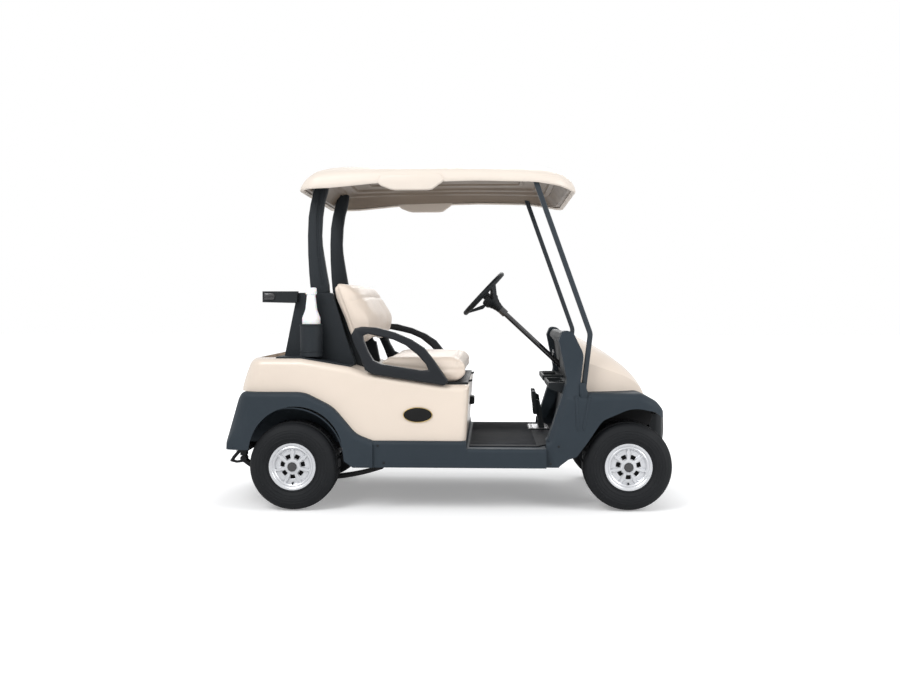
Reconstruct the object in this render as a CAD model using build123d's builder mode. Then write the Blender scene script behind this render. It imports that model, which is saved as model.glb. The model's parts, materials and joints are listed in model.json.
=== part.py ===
"""Two-seat golf cart: +X forward, +Y to the driver's (left) side, +Z up, origin on the ground
under the middle of the overall box. All sizes are in millimetres."""
from build123d import *
from math import cos, radians, sin
import os

os.makedirs("parts", exist_ok=True)

# ---- Driving sizes -------------------------------------------------------------------------
WHEELBASE = 1664
REAR_AXLE_X = -756
FRONT_AXLE_X = REAR_AXLE_X + WHEELBASE
TYRE_R = 222
TYRE_W = 216
RIM_R = 104                 # bead seat
FLANGE_R = 118              # rim flange and wheel cover
REAR_TRACK = 978
FRONT_TRACK = 876
AXLE_Z = TYRE_R

WALL = 6                    # moulded body panels
GAP = 0.3                   # between pieces on different bodies, and curved seats
SPINDLE_R = 19.7
HUB_BORE_R = SPINDLE_R + GAP

BODY_HW = 560               # beige body, half width at its lower edge
BODY_TAPER = 2.0            # degrees, sides leaning in towards the top
FENDER_HW = 600             # rear fender
ROCKER_HW = 587
FRONT_HW = 560              # front fender
FLOOR_Z = 316               # top of the floor moulding
FLOOR_X = 600               # front end of the foot well
FOOT_WELL_HW = 468
SILL_Z = 352                # foot of the body above the rocker
ROCKER_Z = 222              # bottom of the rocker
SEAM_X = -355               # rear fender meets rocker
NOSE_SEAM_X = 500           # rocker meets front moulding
APRON_X = 104               # foot of the seat apron
FENDER_TOP_Z = 592          # rear fender's level top
DECK_Z = 756                # rear deck
TAIL_X = -1075              # beige tail on the centre line
BUMPER_TAIL_X = -1162       # rear bumper on the centre line
BONNET_Z = 590              # top of the front moulding
NOSE_X = 1112
BUMPER_NOSE_X = 1162
SEAT_Z = 626                # lowest point of the body's top edge, under the seat

RAIL_Y = 160                # centre of each frame rail
RAIL_W = 50
RAIL_TOP = FLOOR_Z - WALL
RAIL_H = 48
RAIL_Z = RAIL_TOP - RAIL_H

KINGPIN_Y = 345
KINGPIN_R = 12
STEER_ARM = 60
TIE_ROD_Z = AXLE_Z + 18
TIE_ROD_R = 9

COLUMN_ANGLE = 43           # steering column above level
WHEEL_HUB = (186.5, 250, 1091)   # middle of the steering wheel's rim
STEERING_R = 150
STEERING_TUBE_R = 13

ROOF_TOP = 1752
ROOF_HW = 575
ROOF_WALL = 8
PILLAR_Y = 350
STRUT_Y = 515
STRUT_W = 25
TOWER_HW = 380


# ---- Shared makers -------------------------------------------------------------------------
def save(part, name):
    """Labels one finished piece and writes its file."""
    part.label = name
    export_step(part, f"parts/{name}.step")
    return part


def side_prism(points, radius, low_y, high_y, inset=0):
    """A solid whose outline is drawn in side view (x, z), between two widths."""
    with BuildPart() as prism:
        with BuildSketch(Plane.XZ.offset(-high_y)):
            with BuildLine():
                FilletPolyline(*points, radius=radius, close=True)
            make_face()
            if inset:
                offset(amount=-inset, kind=Kind.INTERSECTION)
        extrude(amount=high_y - low_y)
    return prism.part


def plan_prism(points, radius, low_z, high_z, taper=0, inset=0):
    """A solid whose outline is drawn from above (x, y), between two heights."""
    with BuildPart() as prism:
        with BuildSketch(Plane.XY.offset(low_z)):
            with BuildLine():
                FilletPolyline(*points, radius=radius, close=True)
            make_face()
            if inset:
                offset(amount=-inset, kind=Kind.INTERSECTION)
        extrude(amount=high_z - low_z, taper=taper)
    return prism.part


def block(low, high):
    """A plain block between two corners."""
    with BuildPart() as box:
        middle = [(a + b) / 2 for a, b in zip(low, high)]
        with Locations(tuple(middle)):
            Box(high[0] - low[0], high[1] - low[1], high[2] - low[2])
    return box.part


def rod(start, end, radius):
    """A round bar between two points."""
    with BuildPart() as bar:
        with BuildLine():
            Line(start, end)
        with BuildSketch(Plane(origin=start, z_dir=Vector(*end) - Vector(*start))):
            Circle(radius)
        sweep()
    return bar.part


def joined(*parts):
    """Several overlapping solids as one."""
    with BuildPart() as whole:
        for part in parts:
            add(part)
    return whole.part


def cut(part, *tools):
    """A solid with others taken from it."""
    with BuildPart() as whole:
        add(part)
        for tool in tools:
            add(tool, mode=Mode.SUBTRACT)
    return whole.part


def shared(part, *others):
    """What several solids have in common."""
    with BuildPart() as whole:
        add(part)
        for other in others:
            add(other, mode=Mode.INTERSECT)
    return whole.part


def both_sides(part):
    """A solid and its twin on the other side."""
    return part, mirror(part, about=Plane.XZ)


# ---- Frame ---------------------------------------------------------------------------------
HANGER_X = -340             # front eye of the rear springs
SHACKLE_X = -1060           # rear eye of the rear springs
SPRING_Y = 330
SPRING_W = 50
EYE_R = 16
FRONT_EYE_Z = 190
REAR_EYE_Z = 226
FRAME_FRONT_X = 1060
FRAME_REAR_X = -1080
RACK_X = FRONT_AXLE_X - STEER_ARM
# cross members: x from, x to, half width
CROSS_MEMBERS = (
    (SHACKLE_X - 20, SHACKLE_X + 20, 355),
    (HANGER_X - 30, HANGER_X + 30, 540),
    (420, 470, 540),
    (RACK_X - 23, RACK_X + 23, RAIL_Y),
    (FRONT_AXLE_X - 30, FRONT_AXLE_X + 30, RAIL_Y),
    (FRAME_FRONT_X - 30, FRAME_FRONT_X, 210),
)
TOW_HOLE_R = 10
TOW_PLATE_T = 12
TOW_X = -1130

with BuildPart() as frame_rails:
    for side in (-1, 1):
        y = side * RAIL_Y
        add(block((FRAME_REAR_X, y - RAIL_W / 2, RAIL_Z), (FRAME_FRONT_X, y + RAIL_W / 2, RAIL_TOP)))
    for x0, x1, half in CROSS_MEMBERS:
        add(block((x0, -half, RAIL_Z), (x1, half, RAIL_TOP)))
    for side in (-1, 1):
        y0 = side * SPRING_Y - SPRING_W / 2
        y1 = side * SPRING_Y + SPRING_W / 2
        add(block((HANGER_X - 15, y0, FRONT_EYE_Z + EYE_R + GAP), (HANGER_X + 15, y1, RAIL_Z)))
        add(block((SHACKLE_X - 15, y0, REAR_EYE_Z + EYE_R + GAP), (SHACKLE_X + 15, y1, RAIL_Z)))
    add(block((TOW_X - 30, -45, RAIL_Z), (FRAME_REAR_X, 45, RAIL_Z + TOW_PLATE_T)))
    with Locations((TOW_X, 0, RAIL_Z)):
        Cylinder(TOW_HOLE_R, 4 * TOW_PLATE_T, mode=Mode.SUBTRACT)
save(frame_rails.part, "frame_rails")

BATTERY = ((-330, -290, RAIL_TOP), (60, 290, 570))
save(block(*BATTERY), "battery_pack")

# ---- Rear axle and springs -----------------------------------------------------------------
AXLE_TUBE_R = 32
REAR_HUB_Y = REAR_TRACK / 2
HUB_IN = 60                 # wheel boss, inboard of the wheel's middle
BORE_OUT = 40
SPRING_T = 20
SPRING_LOW_Z = 138          # top of the spring under the axle

with BuildPart() as rear_axle:
    add(rod((REAR_AXLE_X, -REAR_HUB_Y + HUB_IN + 4, AXLE_Z),
            (REAR_AXLE_X, REAR_HUB_Y - HUB_IN - 4, AXLE_Z), AXLE_TUBE_R))
    add(rod((REAR_AXLE_X, -REAR_HUB_Y - BORE_OUT + 2, AXLE_Z),
            (REAR_AXLE_X, REAR_HUB_Y + BORE_OUT - 2, AXLE_Z), SPINDLE_R))
    add(rod((REAR_AXLE_X, 30, AXLE_Z), (REAR_AXLE_X, 126, AXLE_Z), 84))
    add(rod((REAR_AXLE_X + 20, 40, AXLE_Z), (REAR_AXLE_X + 20, -122, AXLE_Z), 70))
    for side in (-1, 1):
        y = side * SPRING_Y
        add(block((REAR_AXLE_X - 40, y - SPRING_W / 2, SPRING_LOW_Z),
                  (REAR_AXLE_X + 40, y + SPRING_W / 2, AXLE_Z)))
save(rear_axle.part, "rear_axle")

with BuildPart() as rear_leaf_springs:
    for side in (-1, 1):
        y = side * SPRING_Y + SPRING_W / 2
        with BuildSketch(Plane.XZ.offset(-y)):
            with BuildLine():
                low = SPRING_LOW_Z
                Polyline((REAR_AXLE_X - 45, low), (REAR_AXLE_X + 45, low))
                ThreePointArc((REAR_AXLE_X + 45, low), (REAR_AXLE_X + 240, low + 12),
                              (HANGER_X - 6, FRONT_EYE_Z))
                Line((HANGER_X - 6, FRONT_EYE_Z), (HANGER_X + 4, FRONT_EYE_Z - 15))
                ThreePointArc((HANGER_X + 4, FRONT_EYE_Z - 15), (REAR_AXLE_X + 240, low - 8),
                              (REAR_AXLE_X + 45, low - SPRING_T))
                Line((REAR_AXLE_X + 45, low - SPRING_T), (REAR_AXLE_X - 45, low - SPRING_T))
                ThreePointArc((REAR_AXLE_X - 45, low - SPRING_T), (REAR_AXLE_X - 190, low + 6),
                              (SHACKLE_X - 4, REAR_EYE_Z - 15))
                Line((SHACKLE_X - 4, REAR_EYE_Z - 15), (SHACKLE_X + 6, REAR_EYE_Z))
                ThreePointArc((SHACKLE_X + 6, REAR_EYE_Z), (REAR_AXLE_X - 180, low + 24),
                              (REAR_AXLE_X - 45, low))
            make_face()
        extrude(amount=SPRING_W)
        with BuildSketch(Plane.XZ.offset(-y)):
            with Locations((HANGER_X, FRONT_EYE_Z), (SHACKLE_X, REAR_EYE_Z)):
                Circle(EYE_R)
        extrude(amount=SPRING_W)
save(rear_leaf_springs.part, "rear_leaf_springs")

# ---- Front suspension, knuckles and tie rod ------------------------------------------------
LUG_T = 15
LUG_LOW_Z = AXLE_Z - 62
LUG_HIGH_Z = AXLE_Z + 48
KNUCKLE_R = 26
KNUCKLE_LOW_Z = LUG_LOW_Z + LUG_T + 4
KNUCKLE_HIGH_Z = LUG_HIGH_Z - 4
BEAM_HY = 296

with BuildPart() as front_suspension:
    add(block((FRONT_AXLE_X - 26, -BEAM_HY, AXLE_Z - 22), (FRONT_AXLE_X + 26, BEAM_HY, RAIL_Z - 2)))
    add(block((FRONT_AXLE_X - 26, -RAIL_Y - 25, RAIL_Z - 4), (FRONT_AXLE_X + 26, RAIL_Y + 25, RAIL_Z)))
    for side in (-1, 1):
        inner = side * (BEAM_HY - 60)
        outer = side * (KINGPIN_Y + 20)
        y0, y1 = min(inner, outer), max(inner, outer)
        for z in (LUG_LOW_Z, LUG_HIGH_Z):
            add(block((FRONT_AXLE_X - 20, y0, z), (FRONT_AXLE_X + 20, y1, z + LUG_T)))
        x0, x1 = FRONT_AXLE_X - 20, FRONT_AXLE_X + 20
        a, b = sorted((side * (BEAM_HY - 60), side * BEAM_HY))
        add(block((x0, a, LUG_LOW_Z), (x1, b, LUG_HIGH_Z + LUG_T)))
        add(rod((FRONT_AXLE_X, side * KINGPIN_Y, LUG_LOW_Z),
                (FRONT_AXLE_X, side * KINGPIN_Y, LUG_HIGH_Z + LUG_T), KINGPIN_R))
save(front_suspension.part, "front_suspension")

FRONT_HUB_Y = FRONT_TRACK / 2
PIN_R = 6
ARM_Z = TIE_ROD_Z - 24
ARM_T = 14

with BuildPart() as knuckle_left:
    add(rod((FRONT_AXLE_X, KINGPIN_Y, KNUCKLE_LOW_Z),
            (FRONT_AXLE_X, KINGPIN_Y, KNUCKLE_HIGH_Z), KNUCKLE_R))
    add(rod((FRONT_AXLE_X, KINGPIN_Y, AXLE_Z),
            (FRONT_AXLE_X, FRONT_HUB_Y + BORE_OUT - 2, AXLE_Z), SPINDLE_R))
    add(block((RACK_X, KINGPIN_Y - 10, ARM_Z), (FRONT_AXLE_X, KINGPIN_Y + 10, ARM_Z + ARM_T)))
    add(rod((RACK_X, KINGPIN_Y, ARM_Z), (RACK_X, KINGPIN_Y, ARM_Z + ARM_T), 12))
    add(rod((RACK_X, KINGPIN_Y, ARM_Z), (RACK_X, KINGPIN_Y, TIE_ROD_Z + 14), PIN_R))
    with Locations((FRONT_AXLE_X, KINGPIN_Y, AXLE_Z)):
        Cylinder(KINGPIN_R + GAP, 4 * KINGPIN_Y, mode=Mode.SUBTRACT)
save(knuckle_left.part, "knuckle_left")
save(mirror(knuckle_left.part, about=Plane.XZ), "knuckle_right")

EYE_PLATE_T = 12
with BuildPart() as tie_rod:
    add(rod((RACK_X, -KINGPIN_Y + 22, TIE_ROD_Z), (RACK_X, KINGPIN_Y - 22, TIE_ROD_Z), TIE_ROD_R))
    for side in (-1, 1):
        with BuildSketch(Plane.XY.offset(TIE_ROD_Z - EYE_PLATE_T / 2)):
            with Locations((RACK_X + 4, side * (KINGPIN_Y - 8))):
                RectangleRounded(44, 40, 8)
        extrude(amount=EYE_PLATE_T)
    for side in (-1, 1):
        with BuildSketch(Plane.XY.offset(TIE_ROD_Z - EYE_PLATE_T)):
            with Locations((RACK_X + 4, side * KINGPIN_Y)):
                RectangleRounded(28, 18, 7)
        extrude(amount=2 * EYE_PLATE_T, mode=Mode.SUBTRACT)
save(tie_rod.part, "tie_rod")

RACK_HY = 100
with BuildPart() as steering_rack:
    add(block((RACK_X - 23, -RACK_HY, TIE_ROD_Z - 20), (RACK_X + 23, RACK_HY, RAIL_Z)))
    with Locations(Location((RACK_X, 0, TIE_ROD_Z), (90, 0, 0))):
        Cylinder(TIE_ROD_R + GAP, 3 * RACK_HY, mode=Mode.SUBTRACT)
save(steering_rack.part, "steering_rack")

# ---- Wheels --------------------------------------------------------------------------------
BEAD_Y = 88                 # tyre's side at the rim
SHOULDER_Y = 90
TREAD_Y = 72
SHOULDER_R = TYRE_R - 14
BULGE_R = 166
RIM_WALL = 5
COVER_Y = 84                # inner face of the wheel cover
COVER_T = 5
COVER_HOLES = 7
COVER_HOLE_R = 12
COVER_HOLE_PCD_R = 52


def tyre(x, y):
    """A solid tyre about the wheel's own axle."""
    with BuildPart() as ring:
        with BuildSketch(Plane.XY):
            with BuildLine():
                Polyline((RIM_R, -BEAD_Y), (RIM_R, BEAD_Y), (FLANGE_R, BEAD_Y + 4))
                ThreePointArc((FLANGE_R, BEAD_Y + 4), (BULGE_R, TYRE_W / 2), (SHOULDER_R, SHOULDER_Y))
                Line((SHOULDER_R, SHOULDER_Y), (TYRE_R - 3, TREAD_Y))
                ThreePointArc((TYRE_R - 3, TREAD_Y), (TYRE_R, 0), (TYRE_R - 3, -TREAD_Y))
                Line((TYRE_R - 3, -TREAD_Y), (SHOULDER_R, -SHOULDER_Y))
                ThreePointArc((SHOULDER_R, -SHOULDER_Y), (BULGE_R, -TYRE_W / 2), (FLANGE_R, -BEAD_Y - 4))
                Line((FLANGE_R, -BEAD_Y - 4), (RIM_R, -BEAD_Y))
            make_face()
        revolve(axis=Axis.Y)
    return ring.part.moved(Location((x, y, AXLE_Z)))


def rim(x, y, outward):
    """A pressed rim with its boss, disc and seven-hole cover, facing +Y before it is turned."""
    seat = RIM_R - GAP
    inner = seat - RIM_WALL
    lip = BEAD_Y + 4 + GAP
    with BuildPart() as wheel:
        with BuildSketch(Plane.XY):
            with BuildLine():
                Polyline((seat, -BEAD_Y - GAP), (seat, BEAD_Y + GAP), (FLANGE_R - 1, lip + 1),
                         (FLANGE_R - 1, lip + 6), (inner, lip + 6), (inner, -lip - 6),
                         (FLANGE_R - 1, -lip - 6), (FLANGE_R - 1, -lip - 1), (seat, -BEAD_Y - GAP))
            make_face()
        revolve(axis=Axis.Y)
        with BuildSketch(Plane.XY):
            with BuildLine():
                Polyline((0, BORE_OUT), (HUB_BORE_R, BORE_OUT), (HUB_BORE_R, -HUB_IN), (42, -HUB_IN),
                         (42, 20), (inner + 1, 30), (inner + 1, 38), (42, 52), (34, COVER_Y + 8),
                         (0, COVER_Y + 8), (0, BORE_OUT))
            make_face()
        revolve(axis=Axis.Y)
        with BuildSketch(Plane.XZ.offset(-COVER_Y)):
            Circle(inner + 1)
            with PolarLocations(COVER_HOLE_PCD_R, COVER_HOLES, start_angle=90):
                Circle(COVER_HOLE_R, mode=Mode.SUBTRACT)
        extrude(amount=-COVER_T)
    turn = 0 if outward > 0 else 180
    return wheel.part.moved(Location((x, y, AXLE_Z), (0, 0, turn)))


# name, x, y: the sign of y is the side that the cover faces
WHEELS = (
    ("rear_left", REAR_AXLE_X, REAR_HUB_Y),
    ("rear_right", REAR_AXLE_X, -REAR_HUB_Y),
    ("front_left", FRONT_AXLE_X, FRONT_HUB_Y),
    ("front_right", FRONT_AXLE_X, -FRONT_HUB_Y),
)
for place, wheel_x, wheel_y in WHEELS:
    save(tyre(wheel_x, wheel_y), f"tyre_{place}")
    save(rim(wheel_x, wheel_y, wheel_y), f"rim_{place}")

# ---- Rear body -----------------------------------------------------------------------------
FENDER_CURVE = ((-1300, FENDER_TOP_Z), (-700, FENDER_TOP_Z), (-555, 520), (-440, 385), (SEAM_X, SILL_Z))
FENDER_CURVE_R = (160, 200, 120)
WELL = ((-1010, -400), (-770, 400))          # bag well, x and y
WELL_FLOOR_Z = 610
SEAT_HOLE = ((-350, -470), (70, 470))        # under the seat


TAIL_ROUND = 38             # top edge of the rear body
TAIL_DROP = 60              # how far its top falls towards the tail
CORNER_X = -1030            # where the tail's corners would meet its sides
CORNER_R = 130
APRON_LEAN = 17


def body_plan(inset):
    """The rear body from above, anticlockwise, inset by a wall."""
    half = BODY_HW - inset
    return ((APRON_X + 60, half), (CORNER_X + inset, half), (TAIL_X + inset, 160),
            (TAIL_X + inset, -160), (CORNER_X + inset, -half), (APRON_X + 60, -half))


def body_side(inset):
    """The rear body in side view, inset by a wall at its front and top."""
    front = APRON_X - inset
    return ((front, SILL_Z), (front + APRON_LEAN, SEAT_Z - inset), (2, SEAT_Z - inset),
            (-387, 686 - inset), (-473, 714 - inset), (-724, DECK_Z - inset),
            (TAIL_X + TAIL_DROP + inset / 2, DECK_Z - inset), (TAIL_X + inset / 2 - 30, DECK_Z - TAIL_DROP - 30 - inset),
            (-1300, SILL_Z))


def on_top_edge(edge):
    """True for the edges that run along the sides and tail of the rear body's top."""
    middle = edge.center()
    level = abs(edge.tangent_at(0.5).Z) < 0.8
    outside = abs(middle.Y) > 150 or middle.X < -1000
    return middle.Z > SEAT_Z - 10 and level and outside and edge.length < 900 and middle.X < APRON_X - 10


def body_form(inset):
    """The rear body as a filled form, inset by a wall."""
    with BuildPart() as form:
        add(plan_prism(body_plan(inset), (0, CORNER_R, 300, 300, CORNER_R, 0), SILL_Z, DECK_Z + 60,
                       taper=BODY_TAPER))
        add(side_prism(body_side(inset), (0, 10, 60, 60, 60, 60, 50, 0, 0), -700, 700), mode=Mode.INTERSECT)
        fillet(form.edges().filter_by(on_top_edge), TAIL_ROUND - inset)
    return form.part


with BuildPart() as rear_body:
    add(body_form(0))
    add(body_form(WALL), mode=Mode.SUBTRACT)
    add(block((WELL[0][0] - WALL, WELL[0][1] - WALL, WELL_FLOOR_Z - WALL),
              (WELL[1][0] + WALL, WELL[1][1] + WALL, DECK_Z - WALL)))
    add(block((*WELL[0], WELL_FLOOR_Z), (*WELL[1], DECK_Z + 10)), mode=Mode.SUBTRACT)
    add(block((*SEAT_HOLE[0], SILL_Z + 10), (*SEAT_HOLE[1], DECK_Z)), mode=Mode.SUBTRACT)
    add(side_prism(FENDER_CURVE + ((SEAM_X, 300), (-1300, 300)), (0,) + FENDER_CURVE_R + (0, 0, 0),
                   -700, 700), mode=Mode.SUBTRACT)
save(rear_body.part, "rear_body")

PLAQUE_X = -134
PLAQUE_Z = 480
PLAQUE_RADII = (73, 38)
PLAQUE_OUT_Y = 560          # its flat outer face, about 4 mm proud of the leaning side
with BuildPart() as side_plaques:
    for side in (-1, 1):
        with BuildSketch(Plane.XZ.offset(-side * PLAQUE_OUT_Y)):
            with Locations((PLAQUE_X, PLAQUE_Z)):
                Ellipse(*PLAQUE_RADII)
        extrude(amount=side * 12)
    add(body_form(0), mode=Mode.SUBTRACT)
save(side_plaques.part, "side_plaques")

SWITCH_Z = 505
with BuildPart() as direction_switch:
    add(side_prism(((APRON_X + 3, SWITCH_Z - 26), (138, SWITCH_Z - 20), (138, SWITCH_Z + 20),
                    (APRON_X + 3, SWITCH_Z + 26)), 6, -38, 38))
    add(body_form(0), mode=Mode.SUBTRACT)
save(direction_switch.part, "direction_switch")

# ---- Rear fender ---------------------------------------------------------------------------
FENDER_PLAN = ((SEAM_X + 60, FENDER_HW), (-1090, FENDER_HW), (BUMPER_TAIL_X, 200),
               (BUMPER_TAIL_X, -200), (-1090, -FENDER_HW), (SEAM_X + 60, -FENDER_HW))
FENDER_PLAN_R = (0, 130, 500, 500, 130, 0)
BUMPER_TOP_X = -1092        # where the bumper's leaning back would meet its top
FENDER_SIDE = ((BUMPER_TOP_X, FENDER_TOP_Z),) + FENDER_CURVE[1:] + ((SEAM_X + 60, 150), (BUMPER_TAIL_X - 40, 150))
FENDER_SIDE_R = (60,) + FENDER_CURVE_R + (0, 0, 0)
FENDER_ROUND = 26           # its top outer edge
BUMPER_Z = 306
ARCH_R = 262                # the liner, a little larger than the arch in the skin
ARCH_Z = 250
SKIN_ARCH = (-737, 288, 235)     # middle x and z, radius
ARCH_FOOT = (-452, 222)     # where the front of the arch meets the rocker's line
LINER_IN_Y = 362
LINER_LOW_Z = 318


def fender_form(inset):
    """The rear fender and bumper as a filled form, inset by a wall."""
    with BuildPart() as form:
        add(plan_prism(FENDER_PLAN, FENDER_PLAN_R, 100, FENDER_TOP_Z + 60, inset=inset))
        add(side_prism(FENDER_SIDE, FENDER_SIDE_R, -700, 700, inset=inset), mode=Mode.INTERSECT)
        sides = [e for e in form.edges() if abs(abs(e.center().Y) - FENDER_HW + inset) < 1
                 and e.center().Z > SILL_Z + 10 and abs(e.tangent_at(0.5).Z) < 0.9 and e.center().X < SEAM_X]
        fillet(sides, FENDER_ROUND - inset)
    return form.part


def arch_disc(middle_x, middle_z, radius, inner_y, outer_y):
    """The round of a rear wheel arch, on the right side."""
    with BuildPart() as disc:
        with BuildSketch(Plane.XZ.offset(inner_y)):
            with Locations((middle_x, middle_z)):
                Circle(radius)
        extrude(amount=outer_y - inner_y)
    return disc.part


with BuildPart() as rear_fender:
    add(fender_form(0))
    add(fender_form(WALL), mode=Mode.SUBTRACT)
    add(block((-1300, -700, 100), (SEAM_X, 700, FENDER_TOP_Z + 60)), mode=Mode.INTERSECT)
    add(body_form(WALL), mode=Mode.SUBTRACT)
    add(block((-1020, -500, FENDER_TOP_Z - 40), (SEAM_X, 500, FENDER_TOP_Z + 10)), mode=Mode.SUBTRACT)
    add(block((-1300, -700, 100), (REAR_AXLE_X, 700, BUMPER_Z)), mode=Mode.SUBTRACT)
    add(block((REAR_AXLE_X - 1, -700, 100), (SEAM_X, 700, ROCKER_Z)), mode=Mode.SUBTRACT)
    liner = (REAR_AXLE_X - 6, ARCH_Z)
    for side in both_sides(cut(arch_disc(*liner, ARCH_R + WALL, LINER_IN_Y, FENDER_HW - 3),
                               block((-1300, -700, -100), (0, 0, LINER_LOW_Z)))):
        add(side)
    for side in both_sides(arch_disc(*liner, ARCH_R, LINER_IN_Y + WALL, FENDER_HW - WALL)):
        add(side, mode=Mode.SUBTRACT)
    for side in both_sides(arch_disc(*SKIN_ARCH, FENDER_HW - WALL - 1, FENDER_HW + 20)):
        add(side, mode=Mode.SUBTRACT)
    skin_x, skin_z, skin_r = SKIN_ARCH
    for side in both_sides(side_prism(((skin_x - skin_r - 15, 100), (skin_x - skin_r, skin_z + 12),
                                       (skin_x + skin_r, skin_z + 12), (skin_x + skin_r + 6, 254), ARCH_FOOT,
                                       (-440, 100)), 0, -FENDER_HW - 20, -LINER_IN_Y - WALL)):
        add(side, mode=Mode.SUBTRACT)
    add(shared(joined(*both_sides(block((SEAM_X - WALL, -FENDER_HW, ROCKER_Z), (SEAM_X, -FENDER_HW + 25, SILL_Z)))),
               fender_form(0)))
fender_piece = max(rear_fender.part.solids(), key=lambda solid: solid.volume)
save(Part(fender_piece.wrapped), "rear_fender")

# ---- Floor and rockers ---------------------------------------------------------------------
FLOOR_SIDE = ((SEAM_X, SILL_Z), (APRON_X, SILL_Z), (APRON_X + 4, FLOOR_Z), (NOSE_SEAM_X, FLOOR_Z),
              (NOSE_SEAM_X, ROCKER_Z), (SEAM_X, ROCKER_Z))
END_LIP = 42                # width of the lips that close the rockers' ends
with BuildPart() as floor_pan:
    add(side_prism(FLOOR_SIDE, 0, -ROCKER_HW, ROCKER_HW))
    fillet([e for e in floor_pan.edges() if abs(e.center().Y) > ROCKER_HW - 1 and e.length > 300
            and e.center().Z > ROCKER_Z + 10], 18)
    add(side_prism(FLOOR_SIDE, 0, -ROCKER_HW + WALL, ROCKER_HW - WALL, inset=WALL), mode=Mode.SUBTRACT)
    add(block((SEAM_X - 1, -ROCKER_HW + WALL, 0), (NOSE_SEAM_X + 1, ROCKER_HW - WALL, ROCKER_Z + WALL + 1)),
        mode=Mode.SUBTRACT)
    inside = ROCKER_HW - END_LIP
    add(block((SEAM_X - 1, -inside, 0), (SEAM_X + 10, inside, SILL_Z - WALL)), mode=Mode.SUBTRACT)
    add(block((NOSE_SEAM_X - 10, -inside, 0), (NOSE_SEAM_X + 1, inside, RAIL_TOP)), mode=Mode.SUBTRACT)
    add(block((SEAM_X + 15, -480, FLOOR_Z - 30), (APRON_X - 15, 480, SILL_Z + 1)), mode=Mode.SUBTRACT)
    add(block((NOSE_SEAM_X - 10, -FOOT_WELL_HW, RAIL_TOP), (FLOOR_X, FOOT_WELL_HW, FLOOR_Z)))
save(floor_pan.part, "floor_pan")

MAT_T = 6
with BuildPart() as floor_mat:
    add(plan_prism(((APRON_X + 16, -512), (NOSE_SEAM_X - 40, -512), (NOSE_SEAM_X - 8, -FOOT_WELL_HW + 8),
                    (FLOOR_X - 12, -FOOT_WELL_HW + 8), (FLOOR_X - 12, FOOT_WELL_HW - 8),
                    (NOSE_SEAM_X - 8, FOOT_WELL_HW - 8), (NOSE_SEAM_X - 40, 512), (APRON_X + 16, 512)),
                   10, FLOOR_Z, FLOOR_Z + MAT_T))
save(floor_mat.part, "floor_mat")

# ---- Front moulding ------------------------------------------------------------------------
FRONT_PLAN = ((NOSE_SEAM_X - 60, FRONT_HW), (1075, FRONT_HW), (NOSE_X, 260),
              (NOSE_X, -260), (1075, -FRONT_HW), (NOSE_SEAM_X - 60, -FRONT_HW))
FRONT_PLAN_R = (0, 110, 500, 500, 110, 0)
FRONT_SIDE = ((NOSE_SEAM_X - 60, 140), (NOSE_SEAM_X - 60, 340), (NOSE_SEAM_X + 6, 354), (590, BONNET_Z),
              (965, BONNET_Z), (1040, 552), (1088, 500), (NOSE_X + 30, 470), (NOSE_X + 30, 140))
FRONT_SIDE_R = (0, 0, 30, 20, 90, 90, 60, 0, 0)
FRONT_ARCH = ((562, 100), (562, ROCKER_Z + 4), (610, 262), (650, 275), (705, 350), (775, 455),
              (925, 520), (1035, 498), (1082, 461), (1300, 452), (1300, 100))
FRONT_ARCH_R = (0, 20, 25, 25, 40, 90, 160, 60, 30, 0, 0)
COLUMN_SIDE = ((NOSE_SEAM_X + 8, 352), (603, 650), (562, 850), (580, 896), (628, 896), (684, 781),
               (660, BONNET_Z - 20), (560, 352))
COLUMN_SIDE_R = (0, 60, 20, 22, 40, 80, 0, 0)
FRONT_ROUND = 40            # its top outer edge
DASH_X = 652                # front of the dash, where the cowl and bonnet meet it


def front_form(inset):
    """The front moulding as a filled form, inset by a wall."""
    with BuildPart() as form:
        add(plan_prism(FRONT_PLAN, FRONT_PLAN_R, 120, BONNET_Z + 60, inset=inset))
        add(side_prism(FRONT_SIDE, FRONT_SIDE_R, -700, 700, inset=inset), mode=Mode.INTERSECT)
        fillet([e for e in form.edges() if abs(e.center().Y) > FRONT_HW - inset - 1 and e.center().Z > 500
                and e.length > 200 and e.center().X > 600], FRONT_ROUND - inset)
    return form.part


COLUMN_OUT_Y = FRONT_HW - 8
with BuildPart() as front_moulding:
    add(front_form(0))
    add(front_form(WALL), mode=Mode.SUBTRACT)
    add(side_prism(FRONT_ARCH, FRONT_ARCH_R, -700, 700), mode=Mode.SUBTRACT)
    add(block((NOSE_SEAM_X - 10, -700, 100), (FRONT_ARCH[1][0] + 4, 700, ROCKER_Z)), mode=Mode.SUBTRACT)
    add(block((NOSE_SEAM_X - 100, -700, 100), (NOSE_SEAM_X, 700, 700)), mode=Mode.SUBTRACT)
    for side in both_sides(side_prism(COLUMN_SIDE, COLUMN_SIDE_R, -COLUMN_OUT_Y, -FOOT_WELL_HW)):
        add(side)
    add(block((NOSE_SEAM_X - 10, -FOOT_WELL_HW, 100), (DASH_X, FOOT_WELL_HW, 1000)), mode=Mode.SUBTRACT)
save(front_moulding.part, "front_moulding")

DASH_TOP_Z = 884
with BuildPart() as dash:
    add(side_prism(((FLOOR_X + 8, FLOOR_Z), (FLOOR_X, FLOOR_Z), (636, 600), (600, 820),
                    (574, 850), (590, DASH_TOP_Z), (628, DASH_TOP_Z), (DASH_X, 820), (DASH_X, 600)),
                   (0, 0, 30, 20, 18, 18, 20, 40, 40),
                   -FOOT_WELL_HW, FOOT_WELL_HW))
save(dash.part, "dash")

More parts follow.
